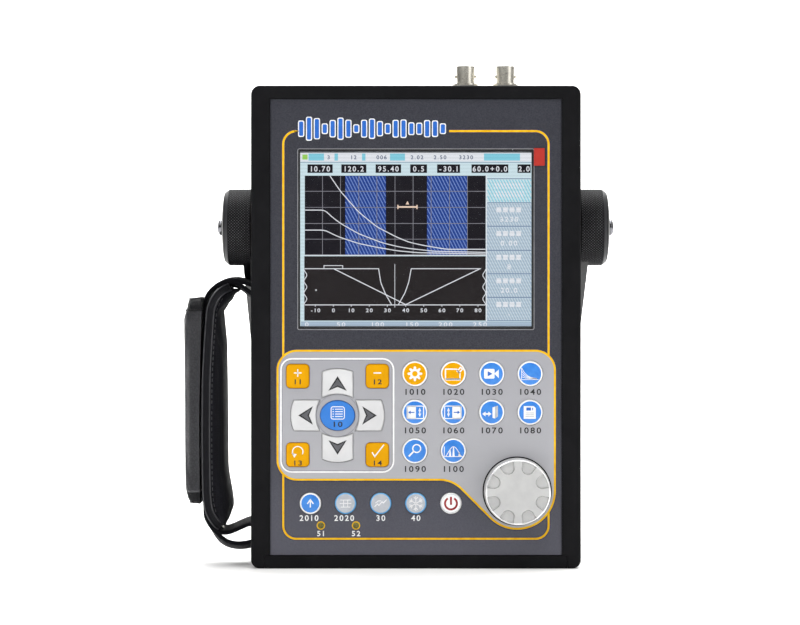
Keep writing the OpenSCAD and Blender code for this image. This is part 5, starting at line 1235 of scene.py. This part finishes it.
# %% Webbing
WEB_T, WEB_W, WEB_SIDES = 2.4, 20.0, 20
PRESSED_Z, PRESSED_HALF, PRESSED_X = 79, 50, -103.5
OUTER_X = -104.5
UPPER_BAR, LOWER_BAR = (-78.2, 137.4), (-80.8, 16.6)
web_points = np.concatenate([
    [(-99.5, 139.6), (-97.0, 141.0), (-93.5, 141.7), (-90.0, 141.1), (-87.4, 139.6), (-84.5, 137.4),
     (-81.5, 135.3)],
    arc(*UPPER_BAR, 3.0, -100, 90, 5),
    [(-83.2, 141.9), (-87.0, 143.2), (-91.2, 143.9), (-95.6, 143.3), (-99.6, 141.3), (-103.0, 138.3),
     (-105.2, 134.8), (-106.2, 130.5), (-106.5, 122.0), (-106.8, 100.0), (-106.9, 77.0), (-106.8, 55.0),
     (-106.6, 38.0), (-106.2, 27.5), (-104.8, 21.8), (-101.8, 16.6), (-98.6, 12.8), (-95.0, 10.4),
     (-90.4, 9.4), (-85.5, 9.7)],
    arc(*LOWER_BAR, 5.5, -80, 80, 6),
    [(-84.5, 21.4), (-88.2, 19.9), (-91.6, 18.4), (-95.0, 17.3), (-98.0, 17.6), (-100.2, 19.6)]])
web_path, web_s = even(spline(web_points, 900), 0.7)
web_ring = oval(WEB_T / 2, WEB_W / 2, 0.5, 0.22, WEB_SIDES)
past_pad = np.maximum(np.abs(web_path[:, 1] - PRESSED_Z) - PRESSED_HALF, web_path[:, 0] - PRESSED_X)
free = np.clip(past_pad / 6, 0, 1)[:, None]
outer_s = web_s[web_path[:, 0] < OUTER_X]
first_s, last_s = outer_s[0], outer_s[-1]
turn_s = [0, first_s - 22, first_s, last_s - 4, last_s + 12, last_s + 24, last_s + 45, web_s[-1]]
lean = np.radians(np.interp(web_s, turn_s, [4, 4, 0, 0, 11, 11, 6, 6]))[:, None]
thick = web_ring[None, :, 0] * (0.55 + 0.45 * free)
web_section = np.stack([thick * np.cos(lean) + web_ring[None, :, 1] * np.sin(lean),
                        web_ring[None, :, 1] * np.cos(lean) - thick * np.sin(lean)], axis=-1)
points, faces = carried(web_path, web_section)
web_uv = np.stack([np.repeat(web_s, WEB_SIDES), np.tile(web_ring[:, 1], len(web_path))], axis=1)


def woven(name, dark, light, along_mm, across_mm, depth_mm, rough=0.75):
    """Webbing: ribs across the strap every along_mm, cut by the yarns' columns every across_mm."""
    material, tree, _ = start(name)
    where = add(tree, "ShaderNodeUVMap", uv_map="cloth").outputs["UV"]
    rib = add(tree, "ShaderNodeTexWave", bands_direction="X",
              sockets={"Vector": where, "Scale": 1 / (2 * along_mm), "Distortion": 0.6, "Detail": 1.0})
    yarn = add(tree, "ShaderNodeTexWave", bands_direction="Y",
               sockets={"Vector": where, "Scale": 1 / (2 * across_mm), "Distortion": 0.4})
    rib, yarn = rib.outputs["Fac"], yarn.outputs["Fac"]
    cloth = add(tree, "ShaderNodeMath", {0: rib, 1: yarn}, operation="MULTIPLY").outputs["Value"]
    return close(material, tree, blend(tree, cloth, colour(dark), colour(light)), rough, cloth, depth_mm,
                 {"Sheen Weight": 0.05, "Sheen Roughness": 0.4, **MATT})


nylon = woven("woven_nylon_black", "#0e0e12", "#26262b", 1.2, 1.6, 0.25)
web = piece("strap_webbing_woven", points, faces, nylon, "case", 50, uv=web_uv)
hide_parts("strap_webbing")
print("webbing length", round(float(web_s[-1])), "mm")

# %% [markdown]
# The binding tape goes round the pad's edge between two beads of piping. Seen from the front it is a dark
# ribbed band between two pale lines. Its section is a flat bar with a bead at each corner, and it is
# carried along the seam, bending over towards the case and narrowing at both ends.

# %% Binding tape with piping
tape_points = [(-94.6, 140.2), (-97.6, 138.6), (-100.6, 135.7), (-102.8, 131.5), (-103.9, 127.0),
               (-105.0, 112.0), (-105.9, 94.0), (-106.1, 76.0), (-106.1, 58.0), (-105.9, 42.0),
               (-105.5, 33.0), (-104.3, 26.0), (-101.6, 20.2), (-99.3, 17.8)]
tape_path, tape_s = even(spline(at_front(tape_points), 500), 0.8)
TAPE_H, TAPE_W, BEAD = 1.75, 25.9, 0.42


def tape_ring():
    """Half section: one bead, the tape's face, the other bead; mirrored for the other side."""
    face = np.stack([np.linspace(-TAPE_H + BEAD, TAPE_H - BEAD, 7)[1:-1], np.full(5, TAPE_W - 0.25)], axis=1)
    half = np.concatenate([arc(-TAPE_H, TAPE_W, BEAD, 250, 20, 6), face,
                           arc(TAPE_H, TAPE_W, BEAD, 160, -70, 6)])
    return np.concatenate([half, half[::-1] * [1, -1]])


tape_base = tape_ring()
along = tape_s / tape_s[-1]
narrow = 1 - 0.42 * np.clip(1 - along / 0.1, 0, 1) ** 2 - 0.5 * np.clip(1 - (1 - along) / 0.12, 0, 1) ** 2
tape_section = tape_base[None] * np.stack([np.ones_like(narrow), narrow], axis=1)[:, None, :]
points, faces = carried(tape_path, tape_section)
on_bead = np.abs(tape_base[:, 0]) > TAPE_H - 0.75 * BEAD
k = len(tape_base)
slots = np.tile(on_bead & np.roll(on_bead, -1), len(tape_path) - 1).astype(int)
tape_uv = np.stack([np.repeat(tape_s, k), np.tile(tape_base[:, 0] + tape_base[:, 1], len(tape_path))], axis=1)
grosgrain = woven("woven_polyester_tape", "#121215", "#26262a", 0.9, 0.9, 0.12)
piping = moulded("vinyl_piping_grey", "#28282b", "#343438", 0.38, 0.5, 0.01, 4.0)
tape = piece("strap_binding_tape", points, faces, [grosgrain, piping], "case", 40,
             np.concatenate([slots, [0, 0]]), tape_uv)

# %% [markdown]
# The pad and the outer panel are cushions: flat where they lie on the tape, crowned on the other side,
# drawn in at the ends. Their sides, as seen from the front, are tables of places read off the photograph,
# and each level is a half superellipse between them. Both are then blown up a little as cloth.

# %% Cushion surfaces
def table(pairs, z):
    """A smooth column of values: linear between the table's places, then averaged over 2 mm."""
    rows = np.asarray(pairs, float)
    fine = np.interp(z[:, None] + np.linspace(-1.2, 1.2, 7), rows[:, 0], rows[:, 1])
    return fine.mean(axis=1)


def cushion(z, flat_x, crown_x, half_y, power_x, power_y, k=44):
    """Levels z of a cushion. A level's point at angle a is at x = flat + (crown - flat) * cos(a)^power_x
    and y = half_y * sin(a)^power_y, with a from -90 to 90 degrees; its flat side closes it."""
    a = np.radians(np.linspace(-90, 90, k))
    c, s = np.clip(np.cos(a), 0, None) ** power_x, np.sign(np.sin(a)) * np.abs(np.sin(a)) ** power_y
    back = np.linspace(1, -1, 14)[1:-1]
    x = np.concatenate([flat_x[:, None] + (crown_x - flat_x)[:, None] * c,
                        np.repeat(flat_x[:, None], len(back), 1)], axis=1)
    y = np.concatenate([half_y[:, None] * s, half_y[:, None] * back], axis=1)
    rings, n = x.shape
    points = np.stack([x, y, np.repeat(z[:, None], n, 1)], axis=-1).reshape(-1, 3)
    ends = [list(range(n)), list(range(rings * n - 1, (rings - 1) * n - 1, -1))]
    return points, quads(rings, n, False, True).tolist() + ends


def levels(z0, z1, n):
    """Heights from z0 to z1, closer together at both ends."""
    return z0 + (z1 - z0) * (1 - np.cos(np.linspace(0, math.pi, n))) / 2


PAD_IN = [(20.2, -96.4), (22.5, -94.4), (24.0, -93.4), (26.6, -92.9), (30.0, -92.8), (33.8, -93.2),
          (40.0, -94.4), (44.7, -95.3), (49.4, -95.9), (70.0, -96.1), (90.6, -96.3), (111.4, -96.7),
          (118.3, -97.4), (123.0, -98.0), (127.4, -98.3), (129.4, -97.2), (132.0, -94.9), (133.6, -93.6),
          (135.2, -92.9), (136.4, -91.9), (137.6, -90.0), (139.5, -88.2)]
PAD_FLAT = at_front([(-99.0, 20.2), (-102.4, 26.1), (-104.0, 33.8), (-104.5, 49.0), (-104.5, 76.0),
                     (-104.3, 93.0), (-103.4, 112.0), (-102.0, 127.0), (-101.0, 130.3), (-98.9, 135.0),
                     (-97.4, 137.2), (-94.8, 139.5)])[:, ::-1]
PAD_HALF = [(20.2, 11.0), (21.5, 15.5), (24.0, 19.0), (28.0, 22.4), (34.0, 24.7), (42.0, 25.7),
            (77.0, 26.0), (112.0, 25.7), (122.0, 24.8), (129.0, 22.6), (134.0, 19.5), (137.2, 16.5),
            (139.5, 12.0)]
pad_z = levels(20.3, 139.4, 84)
pad_points, pad_faces = cushion(pad_z, table(PAD_FLAT, pad_z), table(PAD_IN, pad_z), table(PAD_HALF, pad_z),
                                0.5, 0.8)


def knitted(name, dark, light, cell_mm, depth_mm):
    """Spacer mesh: a knit of small round cells, drawn at 1.3 mm where the real one has 0.8 mm."""
    material, tree, where = start(name)
    cells = add(tree, "ShaderNodeTexVoronoi", {"Vector": where, "Scale": 1 / (cell_mm * MM),
                                               "Randomness": 0.25}).outputs["Distance"]
    tone = blend(tree, spread(tree, cells, 0, 1, 0.05, 0.5), colour(dark), colour(light))
    return close(material, tree, tone, 0.78, spread(tree, cells, 1, 0, 0.0, 0.5), depth_mm,
                 {"Sheen Weight": 0.04, "Sheen Roughness": 0.5, **MATT})


mesh_fabric = knitted("knitted_spacer_mesh_black", "#08080b", "#141419", 1.3, 0.12)
pad = piece("strap_pad_cushion", pad_points, pad_faces, mesh_fabric, "case", 60)
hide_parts("strap_pad")

# %% [markdown]
# The outer panel is padded grey leatherette, with a darker piece sewn over each end. Leatherette has a
# grain of flat pebbles about a millimetre across with fine creases between them: cell distance gives it.
# The creases are darkened as painted shade.

# %% Outer panel
COVER_OUT = [(31.6, -113.4), (32.8, -114.5), (35.0, -115.0), (38.4, -115.1), (60.0, -115.3),
             (83.0, -115.4), (105.0, -115.6), (118.0, -115.9), (126.5, -115.9), (130.0, -115.6),
             (133.0, -115.1), (135.2, -114.0)]
COVER_IN = [(31.6, -107.6), (60.0, -107.8), (73.0, -107.9), (100.0, -107.4), (127.9, -106.7), (135.2, -107.3)]
COVER_HALF = [(31.6, 20.5), (33.0, 22.6), (35.5, 24.0), (39.5, 24.9), (77.0, 25.3), (124.0, 24.9),
              (131.0, 24.0), (133.8, 22.6), (135.2, 20.5)]
CAP_LOW, CAP_TOP = 38.2, 128.4


def panel_skin(z, proud=0.0):
    """The outer panel's surface at levels z, or one that stands proud of it."""
    return cushion(z, table(COVER_IN, z) + proud, table(COVER_OUT, z) - proud, table(COVER_HALF, z) + proud,
                   0.34, 0.7, 56)


cover_z = levels(31.7, 135.1, 90)
cover_points, cover_faces = panel_skin(cover_z)


def leatherette(name, dark, light, rough, pebble_mm, depth_mm, shine):
    """Pebbled grain: the distance to the nearest cell edge makes flat pebbles with creases between, which are
    darkened as painted shade.
    """
    material, tree, where = start(name)
    pebble = add(tree, "ShaderNodeTexVoronoi", {"Vector": where, "Scale": 1 / (pebble_mm * MM)},
                 feature="DISTANCE_TO_EDGE").outputs["Distance"]
    hide = spread(tree, pebble, 0, 1, 0.0, 0.16)
    cloud = noise(tree, where, 14)
    tone = blend(tree, spread(tree, cloud, 0, 1), colour(dark), colour(light))
    # Painted shade: the creases get a darker tone.
    crease_shaded = blend(tree, hide, tuple(0.72 * c for c in colour(dark)[:3]) + (1.0,), tone)
    return close(material, tree, crease_shaded, spread(tree, cloud, rough - 0.05, rough + 0.07), hide, depth_mm,
                 {"Specular IOR Level": shine})


cover_grey = leatherette("leatherette_grey", "#2c2c2f", "#353538", 0.4, 1.3, 0.06, 0.22)
cover_dark = leatherette("leatherette_black", "#161618", "#1e1e20", 0.5, 1.6, 0.09, 0.1)
height = cover_points.reshape(len(cover_z), -1, 3)[:, 0, 2]
mid_z = (height[1:] + height[:-1]) / 2
per_ring = len(cover_points) // len(cover_z)
slots = np.repeat(((mid_z < CAP_LOW) | (mid_z > CAP_TOP)).astype(int), per_ring)
cover = piece("strap_outer_panel", cover_points, cover_faces, [cover_grey, cover_dark], "case", 60,
              np.concatenate([slots, [1, 1]]))
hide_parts("strap_cover")
for word, z, finish in (("lower", CAP_LOW, piping), ("upper", CAP_TOP, cover_dark)):
    seam_z = z + np.linspace(-0.55, 0.55, 9)
    proud = 0.35 * np.sin(np.linspace(0, math.pi, 9)) - 0.1
    seam = piece(f"strap_panel_seam_{word}", *panel_skin(seam_z, proud), finish, "case", 60)

# %% [markdown]
# The soft pieces swell as cloth: air pressure inside, gravity off, twenty frames. The side that lies on
# the tape is held. Left free, the cloth would move by almost 5 mm, but the shapes are already drawn to the
# photograph's outline, so a point keeps only a small part of its move. It is written into the mesh.

# %% Blow up the cushions
FRAMES, PRESSURE, SLACK = 20, 4.0, 0.01


def swell(obj, held, cap_mm):
    """Runs Blender's cloth and keeps each move up to cap_mm. Returns the largest move before that."""
    mesh = obj.data
    rest = np.empty(len(mesh.vertices) * 3)
    mesh.vertices.foreach_get("co", rest)
    rest = rest.reshape(-1, 3)
    group = obj.vertex_groups.new(name="held")
    group.add(np.nonzero(held(rest / MM))[0].tolist(), 1.0, "REPLACE")
    cloth = obj.modifiers.new("cloth", "CLOTH")
    cloth.settings.quality = 6
    cloth.settings.mass = 0.002
    cloth.settings.tension_stiffness = cloth.settings.compression_stiffness = 8.0
    cloth.settings.bending_stiffness = 0.2
    cloth.settings.use_pressure = True
    cloth.settings.uniform_pressure_force = PRESSURE
    cloth.settings.vertex_group_mass = "held"
    cloth.settings.shrink_min = -SLACK
    cloth.settings.effector_weights.gravity = 0
    scene = bpy.context.scene
    for step in range(1, FRAMES + 1):
        scene.frame_set(step)
    solved = obj.evaluated_get(bpy.context.evaluated_depsgraph_get()).data
    new = np.empty(len(mesh.vertices) * 3)
    solved.vertices.foreach_get("co", new)
    move = new.reshape(-1, 3) - rest
    far = np.linalg.norm(move, axis=1)
    move *= np.minimum(1, cap_mm * MM / np.maximum(far, 1e-9))[:, None]
    obj.modifiers.remove(cloth)
    obj.vertex_groups.clear()
    scene.frame_set(1)
    mesh.vertices.foreach_set("co", (rest + move).ravel())
    mesh.update()
    return float(far.max() / MM)


for word, obj, held, cap_mm in (("pad", pad, lambda p: p[:, 0] < table(PAD_FLAT, p[:, 2]) + 0.3, 0.9),
                                ("panel", cover, lambda p: p[:, 0] > table(COVER_IN, p[:, 2]) - 0.3, 0.7)):
    print(f"free move of the {word}:", round(swell(obj, held, cap_mm), 2), "mm, of which it keeps", cap_mm)

# %% [markdown]
# A row of stitches runs just inside the tape on both faces of the pad. Each stitch lies on the swollen
# surface: its depth is the outermost point of the pad within 1.6 mm of it.

# %% Stitches
STITCH, PITCH = 1.7, 2.7
way = np.gradient(tape_path, axis=0)
way /= np.linalg.norm(way, axis=1)[:, None]
beside = tape_path + np.stack([-way[:, 1], way[:, 0]], axis=1) * (TAPE_H + 1.1)
row, _ = even(beside[10:-12], PITCH)
row_way = np.gradient(row, axis=0)
row_way /= np.linalg.norm(row_way, axis=1)[:, None]
skin = np.empty(len(pad.data.vertices) * 3)
pad.data.vertices.foreach_get("co", skin)
skin = skin.reshape(-1, 3) / MM
near = np.hypot(skin[None, :, 0] - row[:, None, 0], skin[None, :, 2] - row[:, None, 1]) < 1.6
thread = moulded("polyester_thread", "#202024", "#2a2a2e", 0.6, 0.4, 0.01, 3.0)
threads = Sheet("strap_stitches", thread, 0.0, 0.5)
for side in (-1, 1):
    depth = np.where(near, side * skin[None, :, 1], 0).max(axis=1)
    for spot, heading, out in zip(row[depth > 0], row_way[depth > 0], depth[depth > 0]):
        threads.front, threads.back = side * (out + 0.12), side * (out - 0.5)
        threads.line([spot - heading * STITCH / 2, spot, spot + heading * STITCH / 2], 0.4)
threads.done()
print("stitches:", 2 * len(row))
